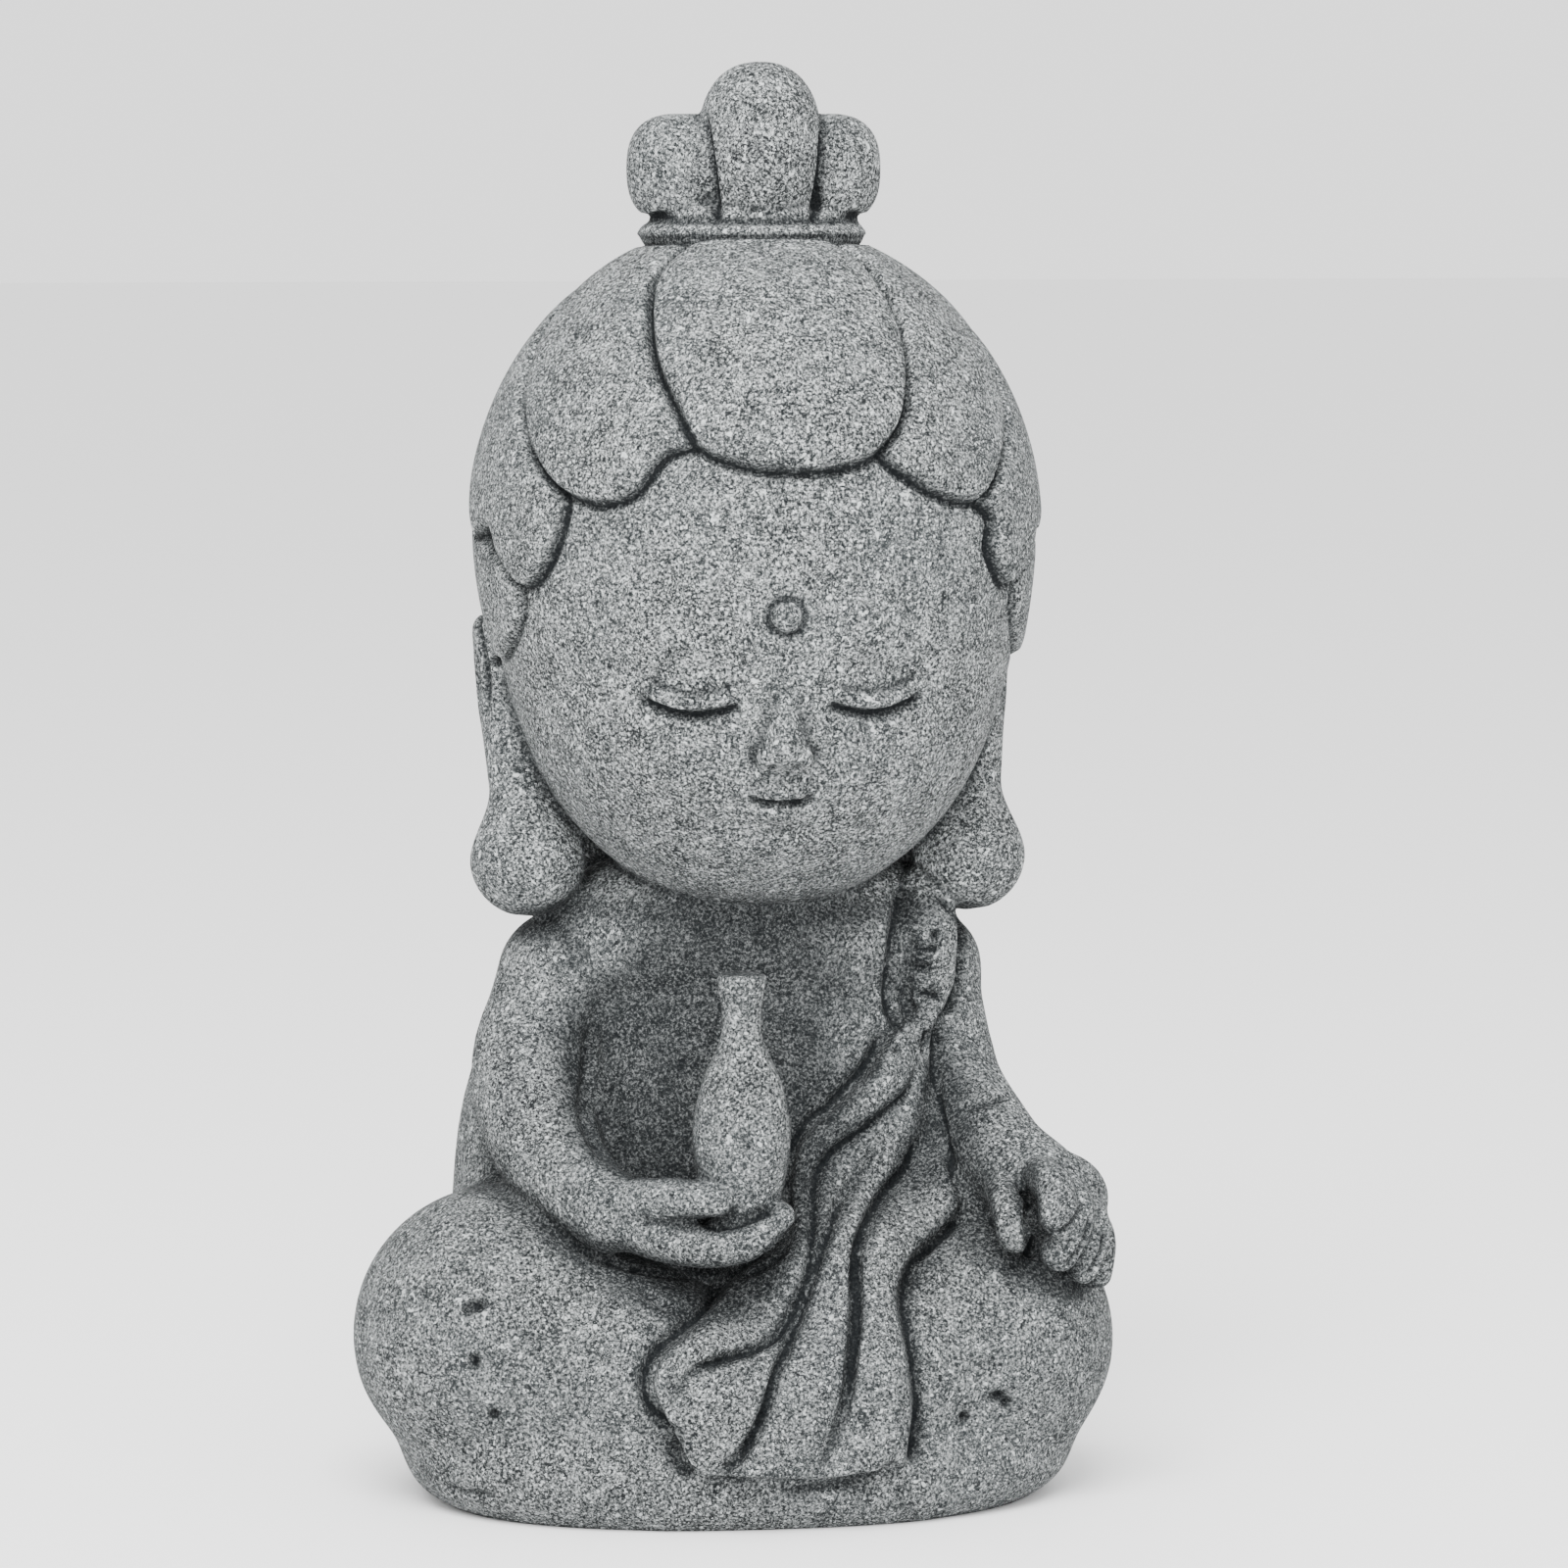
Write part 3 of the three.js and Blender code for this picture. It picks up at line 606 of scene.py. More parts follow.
# Hair: outlines of locks as azimuth and elevation seen from the head's middle, with the seams that two share
def mirrored(outline):
    return [(-azimuth, elevation) for azimuth, elevation in outline]


def even(side, middle):
    """An outline whose other side mirrors the first."""
    return [*side, middle, *mirrored(side)[::-1]]


NAPE_SIDE = [(105, 8), (110, -12), (122, -34), (140, -48), (158, -52), (172, -40), (165, 5), (140, 8)]
NAPE_MIDDLE = even([(160, 0), (156, -10), (152, -36), (163, -54)], (180, -60))
EAR_LOCK = [
    (-78, 6), (-66, 1), (-65, -6), (-70, -12), (-79, -17), (-86, -17), (-92, -10), (-98, -2), (-108, 10),
    (-95, 14),
]
BACK_SIDE = [
    (100, 18), (112, 4), (126, 0), (140, 4), (152, 16), (158, 32), (160, 50), (165, 78), (135, 78), (122, 48),
    (112, 32),
]
BACK_MIDDLE = even([(165, 78), (158, 52), (154, 32), (158, 14), (168, 4)], (180, 0))
TEMPLE_LEFT = [(-53, 20), (-63, 27), (-72, 36), (-81, 45)]
TEMPLE_RIGHT = [(48, 17), (62, 28), (72, 38), (82, 48)]
OVER_EAR = [(88, 8), (100, 18), (112, 32), (122, 48), (135, 64), (140, 78), (118, 78), (110, 66)]
SIDE_LEFT = [
    *TEMPLE_LEFT[::-1], (-50, 17), (-53, 7), (-58, 1), (-63, -1), (-72, 5), (-76, 10), *mirrored(OVER_EAR),
    (-93, 55),
]
SIDE_RIGHT = [*TEMPLE_RIGHT[::-1], (52, 13), (51, 7), (58, -1), (63, 0), (72, 5), (76, 9), *OVER_EAR, (94, 56)]
PARTING = [(-20, 29), (-25, 36), (-31, 43), (-37, 51), (-47, 64)]
BROW_LEFT = [
    (-50, 80), *PARTING[::-1], (-26, 27), (-33, 19), (-42, 17), *TEMPLE_LEFT, (-96, 58), (-115, 70), (-120, 80),
]
BROW_RIGHT = [
    (50, 80), (46, 66), (38, 51), (33, 41), (27, 32), (22, 27), (32, 20), (41, 17), *TEMPLE_RIGHT, (96, 60),
    (115, 70), (120, 80),
]
CROWN = [
    (40, 80), (46, 68), (42, 60), (38, 51), (33, 41), (27, 32), (18, 26), (5, 24), (-9, 25), *PARTING, (-40, 80),
]
# The locks, lowest first: outline, rise and share of a full groove round it
LOCKS = [
    (NAPE_SIDE, 0.9, 1), (mirrored(NAPE_SIDE), 0.9, 1), (NAPE_MIDDLE, 1, 1), (EAR_LOCK, 0.9, 0.35),
    (mirrored(EAR_LOCK), 0.9, 0.35), (BACK_SIDE, 1.3, 1), (mirrored(BACK_SIDE), 1.3, 1),
    (BACK_MIDDLE, 1.5, 1), (SIDE_LEFT, 1.4, 1), (SIDE_RIGHT, 1.4, 1), (BROW_LEFT, 1.5, 1),
    (BROW_RIGHT, 1.5, 1), (CROWN, 1.9, 1),
]
HEAD_RADIUS = 27
LOCK_EDGE = 2.4
LOCK_STEP = 0.35  # share of a lock's rise that stands up straight at its edge
HAIR_GROOVE = 0.62
HAIR_GROOVE_DEPTH = 0.75
HAIR_LOWEST = 48
BARE, COVERED = 0.5, 1.2  # gaps to the bare head under which hair is combed, and over which it isn't


def ways_of(outline):
    a, e = np.radians(np.array(outline, float)).T
    return np.stack([np.cos(e) * np.sin(a), -np.cos(e) * np.cos(a), np.sin(e)], 1)


def laid_flat(ways, centre):
    """Lays directions flat round a centre, in modules across the head."""
    side = np.cross([0, 0, 1], centre)
    side /= np.linalg.norm(side)
    north = np.cross(centre, side)
    x, y = ways @ side, ways @ north
    angle = np.arccos(np.clip(ways @ centre, -1, 1))
    scale = HEAD_RADIUS * angle / np.maximum(np.hypot(x, y), 1e-9)
    return np.stack([x * scale, y * scale], 1)


def depth_inside(points, outline):
    """Distance to a closed outline, positive inside it."""
    best = np.full(len(points), 1e9)
    crossings = np.zeros(len(points), int)
    for start, end in zip(outline, np.roll(outline, -1, 0)):
        step = end - start
        share = np.clip(((points - start) @ step) / max(step @ step, 1e-9), 0, 1)
        best = np.minimum(best, np.linalg.norm(points - start - share[:, None] * step, axis=1))
        straddles = (start[1] > points[:, 1]) != (end[1] > points[:, 1])
        if step[1]:
            crossings += straddles & (points[:, 0] < start[0] + step[0] * (points[:, 1] - start[1]) / step[1])
    return np.where(crossings % 2 == 1, best, -best)


def comb_hair(clay, ground, rise_scale):
    """Raises the locks on the bare head and cuts the dark grooves between them."""
    near = np.flatnonzero(clay.points[:, 2] > HAIR_LOWEST)
    gaps = np.array([ground.find_nearest(place)[3] for place in clay.points[near].tolist()])
    near, gaps = near[gaps < COVERED], gaps[gaps < COVERED]
    held = 1 - ramp(gaps, BARE, COVERED)
    ways = clay.points[near] - HEAD_MIDDLE
    ways /= np.linalg.norm(ways, axis=1)[:, None]
    height, wash_and_shade = np.zeros(len(near)), np.zeros(len(near))
    for outline, rise, share in LOCKS:
        corners = ways_of(outline)
        centre = corners.mean(0)
        centre /= np.linalg.norm(centre)
        edge = Route([tuple(point) for point in laid_flat(corners, centre)], closed=True, steps=6)
        inside = depth_inside(laid_flat(ways, centre), edge.points[:-1, :2])
        into = np.clip(inside / LOCK_EDGE, 0, 1)
        pillow = rise * rise_scale * (LOCK_STEP + (1 - LOCK_STEP) * np.sqrt(1 - (1 - into) ** 2))
        height = np.where(inside > 0, pillow, height)
        # The grooves between locks are darkened with dark wash and painted shade.
        cut = share * smooth_step(1 - np.abs(inside) / HAIR_GROOVE)
        height -= HAIR_GROOVE_DEPTH * cut
        wash_and_shade = np.where(inside > HAIR_GROOVE, 0, wash_and_shade)
        wash_and_shade = np.maximum(wash_and_shade, np.clip(1.2 * cut, 0, 1))
    clay.points[near] += clay.normals[near] * (height * held)[:, None]
    clay.wash_and_shade[near] = np.maximum(clay.wash_and_shade[near], wash_and_shade * held)


# Face features
def model_face(clay):
    """Soft sockets, closed lids, lips, cheeks and chin, raised or pressed on the front of the head."""
    x, y, z = clay.points.T
    forward = (y < -FACE_EDGE) & (clay.normals[:, 1] < 0.1)
    front = np.flatnonzero(forward & (z > CHIN + 1) & (z < FACE_TOP + 1))
    fade = ramp(-y[front], FACE_EDGE, FACE_FULL)
    lift = np.zeros(len(front))
    for across, level, wide, tall, rise in SOFT_FORMS.values():
        far = ((np.abs(x[front]) - across) / wide) ** 2 + ((z[front] - level) / tall) ** 2
        lift += rise * np.exp(-far)
    clay.points[front] += clay.normals[front] * (lift * fade)[:, None]
    clay.turn_normals()
    clay.grow_tree()

    def face_line(points):
        route = Route([on_face(px, pz) for px, pz in points])
        line = [route.at(share)[0] for share in np.linspace(0, 1, 60)]
        return np.array([clay.tree.find_nearest(place)[0] for place in line])

    # The lid lines, nostrils, nose wings, mouth corners, mouth and the mark's ring are darkened with dark wash
    # and painted shade in their hollows.
    for hand in (-1, 1):
        inner, outer = EYE_OFFSET - EYE_SPAN / 2, EYE_OFFSET + EYE_SPAN / 2
        lid = [(hand * inner, EYE_LEVEL + 0.1), (hand * (inner + 2.2), EYE_LEVEL - 0.75),
               (hand * EYE_OFFSET, EYE_LEVEL - EYE_SAG), (hand * (outer - 2.2), EYE_LEVEL - 0.35),
               (hand * outer, EYE_LEVEL + 0.9)]
        above = [(px, pz + 1.0) for px, pz in lid[1:-1]]
        fold = [(px, pz + 2.2) for px, pz in lid]
        clay.groove(face_line(above), 0.8, -0.35, wash_and_shade=0)
        clay.groove(face_line(lid), 0.8, 1.0, wash_and_shade=1.0, taper=(0.15, 0.2))
        clay.groove(face_line(fold), 0.55, 0.35, wash_and_shade=0.6, taper=(0.3, 0.3))
        nostril = on_face(hand * 1.1, NOSE_LEVEL - 0.3, 0.7)
        clay.dent(nostril, (0.7, 1.2, 0.6), 0.5, wash_and_shade=0.7)
        wing = [(2.4 * hand, NOSE_LEVEL + 1.6), (2.7 * hand, NOSE_LEVEL + 0.5),
                (2.1 * hand, NOSE_LEVEL - 0.4)]
        clay.groove(face_line(wing), 0.7, 0.5, wash_and_shade=0.8, taper=(0.3, 0.3))
        corner = on_face(hand * MOUTH_SPAN / 2, MOUTH_LEVEL + 0.25)
        clay.dent(corner, (0.8, 1.2, 0.7), 0.35, wash_and_shade=0.6)
    half = MOUTH_SPAN / 2
    mouth = [(-half, MOUTH_LEVEL + 0.3), (-half / 2, MOUTH_LEVEL - 0.1), (0, MOUTH_LEVEL + 0.1),
             (half / 2, MOUTH_LEVEL - 0.1), (half, MOUTH_LEVEL + 0.3)]
    clay.groove(face_line(mouth), 0.6, 0.8, wash_and_shade=1.0, taper=(0.12, 0.12))
    turns = np.linspace(0, 2 * math.pi, 13)
    ring = [(MARK_RING * math.cos(turn), MARK_LEVEL + MARK_RING * math.sin(turn)) for turn in turns]
    clay.groove(face_line(ring), 0.55, 0.4, wash_and_shade=0.9)


# Grooves of the front: a line on the sketch plane, then reach, depth, darkening by dark wash and painted shade,
# and taper
GROOVES = {
    "index finger": ([[25.7, 24.4], [27.1, 24], [28.4, 24.8], [29.2, 25.9], [29.7, 27.2]],
        0.55, 0.65, 0.9, (0.1, 0.3)),
    "middle and ring": ([[30.5, 26.1], [29.7, 23.1], [28.3, 21.2]], 0.55, 0.65, 0.9, (0.3, 0)),
    "ring and little": ([[31.7, 24.6], [31.5, 22.3], [30.4, 20.3]], 0.55, 0.65, 0.9, (0.3, 0)),
    "thumb and index": ([[24.3, 27.9], [24.6, 26.2], [24.9, 24.2], [25, 22]], 1.0, 1.2, 1.0, (0.15, 0)),
    "vase thumb": ([[-5.6, 25.9], [-3.2, 24.9], [-0.6, 25.4], [2.2, 26.7]], 0.65, 0.9, 1.0, (0.2, 0.1)),
    "elbow": ([[18.9, 34.7], [20.4, 35], [22, 35.4], [24.2, 36]], 0.6, 0.5, 0.9, (0.05, 0.3)),
    "strap inner": ([[13.4, 55.2], [13.2, 53], [12.7, 50.1], [12.5, 48.1], [12.2, 45.9], [12.4, 43.6],
        [13.3, 42.3], [14.5, 42.1]], 0.8, 0.7, 0.95, (0.1, 0.1)),
    "strap outer": ([[16, 54.6], [17.7, 53.2], [18.8, 51.5], [18.8, 48.6], [18.6, 46.4], [18.2, 44.6],
        [17.3, 43.1], [16.7, 41.3], [16.6, 39.1], [16.6, 35]], 0.8, 0.7, 0.95, (0.1, 0.1)),
    "strap valley": ([[14.4, 51.5], [14.1, 48.2], [13.9, 44.5], [14.4, 42.4]], 0.9, 0.6, 0.75, (0.3, 0.2)),
    "strap crack one": ([[14.3, 49], [15.7, 49], [17.1, 49.2]], 0.6, 0.9, 1.0, (0.2, 0.2)),
    "strap crack two": ([[14.1, 47.4], [15.1, 47.3], [16.3, 47.2]], 0.6, 0.9, 1.0, (0.2, 0.2)),
    "strap crack three": ([[14.7, 45.1], [16.1, 44.9], [17.3, 44.5]], 0.65, 1.0, 1.0, (0.2, 0.2)),
    "knot slit": ([[15.9, 41.6], [15.7, 40.6], [15.5, 39.2]], 0.6, 0.8, 1.0, (0.1, 0.3)),
    "bun left": ([[-4.4, 125], [-3.8, 120.4], [-3.4, 117.4], [-3.2, 114.8]], 0.9, 0.9, 1.0, (0.3, 0)),
    "bun right": ([[6.4, 125], [6.2, 120.4], [5.9, 117.4], [5.7, 114.8]], 0.9, 0.9, 1.0, (0.3, 0)),
    # The creases from here to the arm and leg, and the fold and shin below, lie where parts meet; their
    # darkening is chiefly painted shade.
    "base left": ([[-28.9, 1.6], [-26.1, 0.9], [-21.6, 0.7]], 0.6, 0.3, 0.6, (0.3, 0.3)),
    "chest and arm": ([[-15.4, 43.7], [-14.6, 41], [-14.9, 37.5], [-14.9, 33.9], [-13.4, 31.1],
        [-11.3, 29.4]], 1.6, 0.7, 0.75, (0.3, 0.2)),
    "arm and leg": ([[-20, 26.7], [-16.5, 23.5], [-12.9, 21.5], [-7.7, 20.2], [-2.4, 19.9], [2, 21.8],
        [3.9, 24.6]], 1.0, 0.6, 0.9, (0.1, 0.1)),
    "robe fold one": ([[15.1, 38.9], [14.2, 36.3], *VALLEYS[1][3:11], [4.2, 18.4], [3.2, 16.4], [2.1, 15],
        *VALLEYS[1][12:15], [-5.8, 11.9], [-6.7, 11.1]], 0.65, 0.8, 1.0, (0.1, 0.1)),
    "robe fold two": ([*VALLEYS[2][3:7], [6.4, 23.2], *VALLEYS[2][7:]], 0.65, 0.8, 1.0, (0.15, 0.2)),
    "robe fold three": ([*VALLEYS[3][2:-1], [5.6, 3.1]], 0.75, 1.0, 1.0, (0.05, 0.35)),
    "robe right edge": ([[19.4, 25], [18.4, 24.5], [17.3, 23.5], [15.6, 22.1], [14.5, 20.9], [13.9, 19.7],
        [13.6, 18.1], [13.9, 15.8], [14.3, 13.6], [14.6, 11.3], [14.8, 9], [14.6, 6.6], [14.1, 3.5]],
        0.7, 0.9, 1.0, (0.05, 0.05)),
    "robe and arm": ([[16.8, 38.5], [16.7, 36.5], [17, 34.4], [17.5, 32.1], [18, 29.7], [18.7, 27.3],
        [19.2, 26.3]], 0.75, 0.8, 1.0, (0.1, 0.15)),
    "robe left edge": ([[12, 41.9], [11.4, 40.8], [10.1, 38.5], [8.7, 37], [7.1, 35.3], [5.1, 33.8],
        [3.7, 31.8], [3.3, 30]], 0.7, 0.7, 1.0, (0.1, 0.1)),
    "robe lower left": ([[3.1, 24.4], [0.6, 22.1], [-1.9, 20.3], [-2.9, 19.2], [-4.4, 17.3], [-6.5, 15.6],
        [-8.5, 14], [-9.5, 11.8], [-9.3, 9.5], [-8, 7.9], [-6.5, 7], [-5, 6.6]], 0.75, 0.9, 1.0, (0.05, 0.1)),
    "hem lobe": ([[-6.2, 6.6], [-6.8, 5], [-6.3, 3.8], [-5.1, 2.9]], 0.7, 0.6, 0.9, (0.1, 0.1)),
    "hem": ([[13.4, 4.1], [11.5, 3.3], [9.2, 2.5], [6.3, 1.8], [2.9, 1.5], [0, 2.2]],
        0.7, 0.5, 0.8, (0.05, 0.4)),
    "fold and shin": ([[-11.1, 20.2], [-8.8, 18.3], [-6.7, 17.2], [-4.6, 16.7]], 0.8, 0.5, 0.8, (0.2, 0)),
}
# Pits left by the casting, darkened with dark wash and painted shade: place on the sketch plane, half width and
# half height
PITS = [
    (-24.4, 17.9, 1.5, 0.8), (-25.3, 17.4, 0.8, 0.7), (-24.6, 12.8, 0.8, 1.3), (-22.9, 8, 0.7, 0.7),
    (22.1, 9.1, 1.4, 0.9), (22.8, 8.5, 0.8, 0.8), (19.1, 7.5, 0.8, 0.6), (16.6, 50.4, 0.7, 0.7),
    (14.5, 43.7, 0.5, 0.5), (13.1, 40.1, 0.45, 0.45), (15.7, 47.5, 0.5, 0.5), (-23.2, 75.2, 0.9, 0.6),
]
PIT_DEPTH = 1.1
# Soft folds of the robe across the back, as x and z: a wide dip and a fine line in it
BACK_FOLDS = [
    [[17, 47], [10, 42], [0, 38.5], [-11, 38], [-20, 40]],
    [[19, 38], [11, 31], [0, 26], [-12, 24], [-22, 25.5]],
    [[20, 28], [12, 20], [1, 14.5], [-11, 12.5], [-21, 13.5]],
    [[19, 17], [13, 10.5], [5, 7]],
]
# Each cut: reach, depth, darkening by dark wash and painted shade, and taper.
BACK_CUTS = [(3.2, 1.0, 0.5, (0.25, 0.25)), (1.0, 0.3, 0.7, (0.3, 0.3))]
# Patches of painted shade on the body, behind the vase, under the chin and beside and under the arms: centre,
# half widths and strength
SHADE_PATCHES = [
    ((-4, -11, 36), (15, 7, 14), 0.62), ((-2, -9, 47), (15, 7, 9), 0.4), ((-3, -11, 44), (6, 6, 9), 0.45),
    ((-9.5, -9, 43), (8, 8, 11), 0.5), ((-6, -15, 20), (14, 8, 6), 0.4), ((17, -6, 30), (5, 9, 8), 0.5),
    ((-1, -8, 54), (19, 9, 4), 0.3),
]
SHADE_PATCH_SOFTNESS = 1.6
# Ear: its rim as y and z, and the place and size of its bowl
EAR_RIM = [(-1, 70), (-1.2, 75), (0.5, 79.5), (3.2, 80.5), (5, 78), (5, 73), (4, 68)]
EAR_BOWL = (1.5, 74)
EAR_BOWL_RADII = (2.0, 2.0, 3.4)
BESIDE_HEAD = 40


def carve_front(clay):
    laid = [(clay.line(sketch), *cut) for sketch, *cut in GROOVES.values()]
    pits = [(clay.line([(u, v), (u + 0.01, v)])[0], (wide, 1, tall)) for u, v, wide, tall in PITS]
    for line, *cut in laid:
        clay.groove(line, *cut)
    for place, radii in pits:
        clay.dent(place, radii, PIT_DEPTH)


def carve_back(clay):
    for fold in BACK_FOLDS:
        line = clay.line(fold, right=Vector((1, 0, 0)), up=Vector((0, 0, 1)), into=Vector((0, -1, 0)))
        for cut in BACK_CUTS:
            clay.groove(line, *cut)


def run_base_together(clay):
    """Runs the knees and the seat into the base, clear of the robe's hem, and the thighs into the seat."""
    x, y, z = clay.points.T
    hem = ramp(x, -12.5, -10.5) * (1 - ramp(x, 13, 15)) * (y < -10)
    clay.relax(RUN * (1 - ramp(z, 7, 12)) * (1 - hem), 90)
    beside = ramp(np.abs(x + 2), 14, 18) * ramp(y, -8, -4) * (1 - ramp(z, 28, 34))
    clay.relax(RUN * beside, 60)


def carve_tie(clay, sizes):
    """Cuts the dark lines under and over the cord of the bun; the hair meets it higher at the front."""
    turn = np.linspace(0, 2 * math.pi, 240)
    radius = sizes.tie_radius / MM
    under = TIE_BOTTOM + 0.75 + 0.45 * np.cos(turn)
    over = np.full(len(turn), TIE_BOTTOM + sizes.tie_width / MM + 0.3)
    for level, out, depth in ((under, radius + 0.1, 0.35), (over, radius - 0.9, 0.6)):
        ring = np.stack([out * np.sin(turn), BUN_AXIS - out * np.cos(turn), level], 1)
        clay.groove(ring, 0.85, depth, 1.0)


def carve_ears(clay):
    """Cuts the rim and presses the bowl of each ear, from the side."""
    route = Route([(0, y, z) for y, z in EAR_RIM])
    for hand in (-1, 1):

        def skin(y, z):
            return clay.tree.ray_cast(Vector((BESIDE_HEAD * hand, y, z)), Vector((-hand, 0, 0)))[0]

        rim = [skin(*route.at(share)[0][1:]) for share in np.linspace(0, 1, 60)]
        clay.groove(np.array(rim), 0.9, 0.6, 0.85, (0.15, 0.2))
        clay.dent(np.array(skin(*EAR_BOWL)), EAR_BOWL_RADII, 1.1, 0.8)


SPREAD = 0.7


def hollows(clay, passes):
    """How deep each point lies below the surface smoothed over its surroundings."""
    spread = clay.points.copy()
    for _ in range(passes):
        spread += SPREAD * (clay.averaged(spread) - spread)
    return ((spread - clay.points) * clay.normals).sum(1)


SHELTER_RAYS = 14
SHELTER_REACH = 32
SHELTER_START = 0.05
GOLDEN_ANGLE = math.pi * (3 - math.sqrt(5))
NEXT_TURN = 2.399


def shelter(clay):
    """The share of the sky over each point that the rest of the figure hides."""
    clay.grow_tree()
    cast = clay.tree.ray_cast
    hidden = np.zeros(len(clay.points))
    order = np.arange(SHELTER_RAYS)
    height = np.sqrt(1 - (order + 0.5) / SHELTER_RAYS)
    level = np.sqrt(1 - height**2)
    for i, (place, normal) in enumerate(zip(clay.points.tolist(), clay.normals.tolist())):
        turn = order * GOLDEN_ANGLE + i * NEXT_TURN
        out = Vector(normal)
        side = out.orthogonal().normalized()
        other = out.cross(side)
        start = Vector(place) + out * SHELTER_START
        for up, x, y in zip(height, level * np.cos(turn), level * np.sin(turn)):
            if cast(start, out * up + side * x + other * y, SHELTER_REACH)[0]:
                hidden[i] += 1 / SHELTER_RAYS
    for _ in range(3):
        hidden += RUN * (clay.averaged(hidden) - hidden)
    return hidden


# Materials
def colour(hex_code):
    """An sRGB hex colour as linear red, green, blue and alpha."""
    parts = [int(hex_code[i : i + 2], 16) / 255 for i in (1, 3, 5)]
    return (*(part / 12.92 if part <= 0.04045 else ((part + 0.055) / 1.055) ** 2.4 for part in parts), 1.0)


def add_node(tree, kind, inputs=None, **settings):
    node = tree.nodes.new(kind)
    for name, value in settings.items():
        setattr(node, name, value)
    for socket, value in (inputs or {}).items():
        if isinstance(value, bpy.types.NodeSocket):
            tree.links.new(value, node.inputs[socket])
        else:
            node.inputs[socket].default_value = value
    return node


def blend(tree, factor, first, second):
    inputs = {"Factor": factor, 6: first, 7: second}
    return add_node(tree, "ShaderNodeMix", inputs, data_type="RGBA").outputs[2]


def window(tree, value, low, high):
    """A value spread from 0 at low to 1 at high, and held there."""
    inputs = {"Value": value, "From Min": low, "From Max": high}
    return add_node(tree, "ShaderNodeMapRange", inputs, interpolation_type="SMOOTHSTEP").outputs[0]


def reckon(tree, operation, first, second):
    return add_node(tree, "ShaderNodeMath", {0: first, 1: second}, operation=operation).outputs[0]


def per_metre(size_mm):
    return 1 / (size_mm * MM)


def stone_material(finish):
    """Stone powder cast in resin in a soft mould: matt, close-grained, wiped with a dark wash, with painted
    shade in its hollows, creases and sheltered parts.
    """
    stone = bpy.data.materials.new("cast_sandstone_composite")
    stone.use_nodes = True
    tree = stone.node_tree
    tree.nodes.clear()
    place = add_node(tree, "ShaderNodeTexCoord").outputs["Object"]

    def grains(size_mm, detail, roughness):
        inputs = {"Vector": place, "Scale": per_metre(size_mm), "Detail": detail, "Roughness": roughness}
        return add_node(tree, "ShaderNodeTexNoise", inputs).outputs["Fac"]

    def specks(size_mm, above):
        """Ragged single grains: the peaks of a fine noise."""
        return window(tree, grains(size_mm, 1.5, 0.8), above, above + 0.06)

    def times(first, second):
        return reckon(tree, "MULTIPLY", first, second)

    def swing(value, share):
        """How far a noise swings about its middle, in part."""
        return times(reckon(tree, "SUBTRACT", value, 0.5), share)

    grain = reckon(tree, "ADD", grains(0.26, 3, 0.85), swing(grains(2.4, 4, 0.7), 0.2))
    pale = reckon(tree, "POWER", window(tree, grain, 0.3, 0.72), 2.7)
    powder = blend(tree, pale, (*finish.dark_grain, 1), (*finish.pale_grain, 1))
    mottle = window(tree, grains(16, 3, 0.55), 0.3, 0.8)
    body = blend(tree, mottle, powder, blend(tree, 0.25, powder, (*finish.body, 1)))
    pores = reckon(tree, "MAXIMUM", specks(0.42, 0.62), specks(0.95, 0.66))
    body = blend(tree, times(pores, 0.85), body, (*finish.pore, 1))

    # This attribute holds both the dark wash of the grooves and the painted shade of hollows, creases and
    # sheltered parts.
    wash_and_shade = add_node(tree, "ShaderNodeAttribute", attribute_name="wash_and_shade").outputs["Fac"]
    ragged = reckon(tree, "ADD", wash_and_shade, swing(grain, 1.2))
    held = times(window(tree, ragged, 0, 0.8), finish.wash_and_shade_strength)
    # Mixes the wash colour in as dark wash and painted shade, ragged by the grain and nearly solid in the
    # darkest grooves.
    skin = blend(tree, held, body, blend(tree, 0.2, (*finish.wash_and_shade, 1), body))
    skin = blend(tree, times(window(tree, wash_and_shade, 0.84, 0.97), 0.85), skin, (*finish.wash_and_shade, 1))
    # Pale flecks show only where there is no dark wash or painted shade.
    flecks = reckon(tree, "MAXIMUM", specks(0.38, 0.61), specks(0.91, 0.66))
    outside_wash_and_shade = reckon(tree, "SUBTRACT", 1.0, window(tree, wash_and_shade, 0, 0.8))
    skin = blend(tree, times(times(flecks, outside_wash_and_shade), 0.75), skin, (*finish.fleck, 1))

    height = reckon(tree, "SUBTRACT", grain, times(pores, 0.3))
    relief = {"Height": height, "Strength": 0.8, "Distance": 0.25 * MM}
    bump = add_node(tree, "ShaderNodeBump", relief).outputs["Normal"]
    surface = {"Base Color": skin, "Normal": bump, "Roughness": 0.92, "Specular IOR Level": 0.12}
    shader = add_node(tree, "ShaderNodeBsdfPrincipled", surface).outputs["BSDF"]
    add_node(tree, "ShaderNodeOutputMaterial", {"Surface": shader})
    return stone


def floor_material(look):
    """Matt white card."""
    card = bpy.data.materials.new("matt_white_card")
    card.use_nodes = True
    surface = card.node_tree.nodes["Principled BSDF"]
    surface.inputs["Base Color"].default_value = (*look.floor, 1)
    surface.inputs["Roughness"].default_value = 0.9
    return card


# Settings
def length(name, text, default_mm):
    default = default_mm * MM
    return FloatProperty(name=name, description=text, default=default, min=0, unit="LENGTH", precision=4)


def tint(name, text, hex_code):
    return FloatVectorProperty(
        name=name, description=text, default=colour(hex_code)[:3], size=3, min=0, max=1, subtype="COLOR"
    )


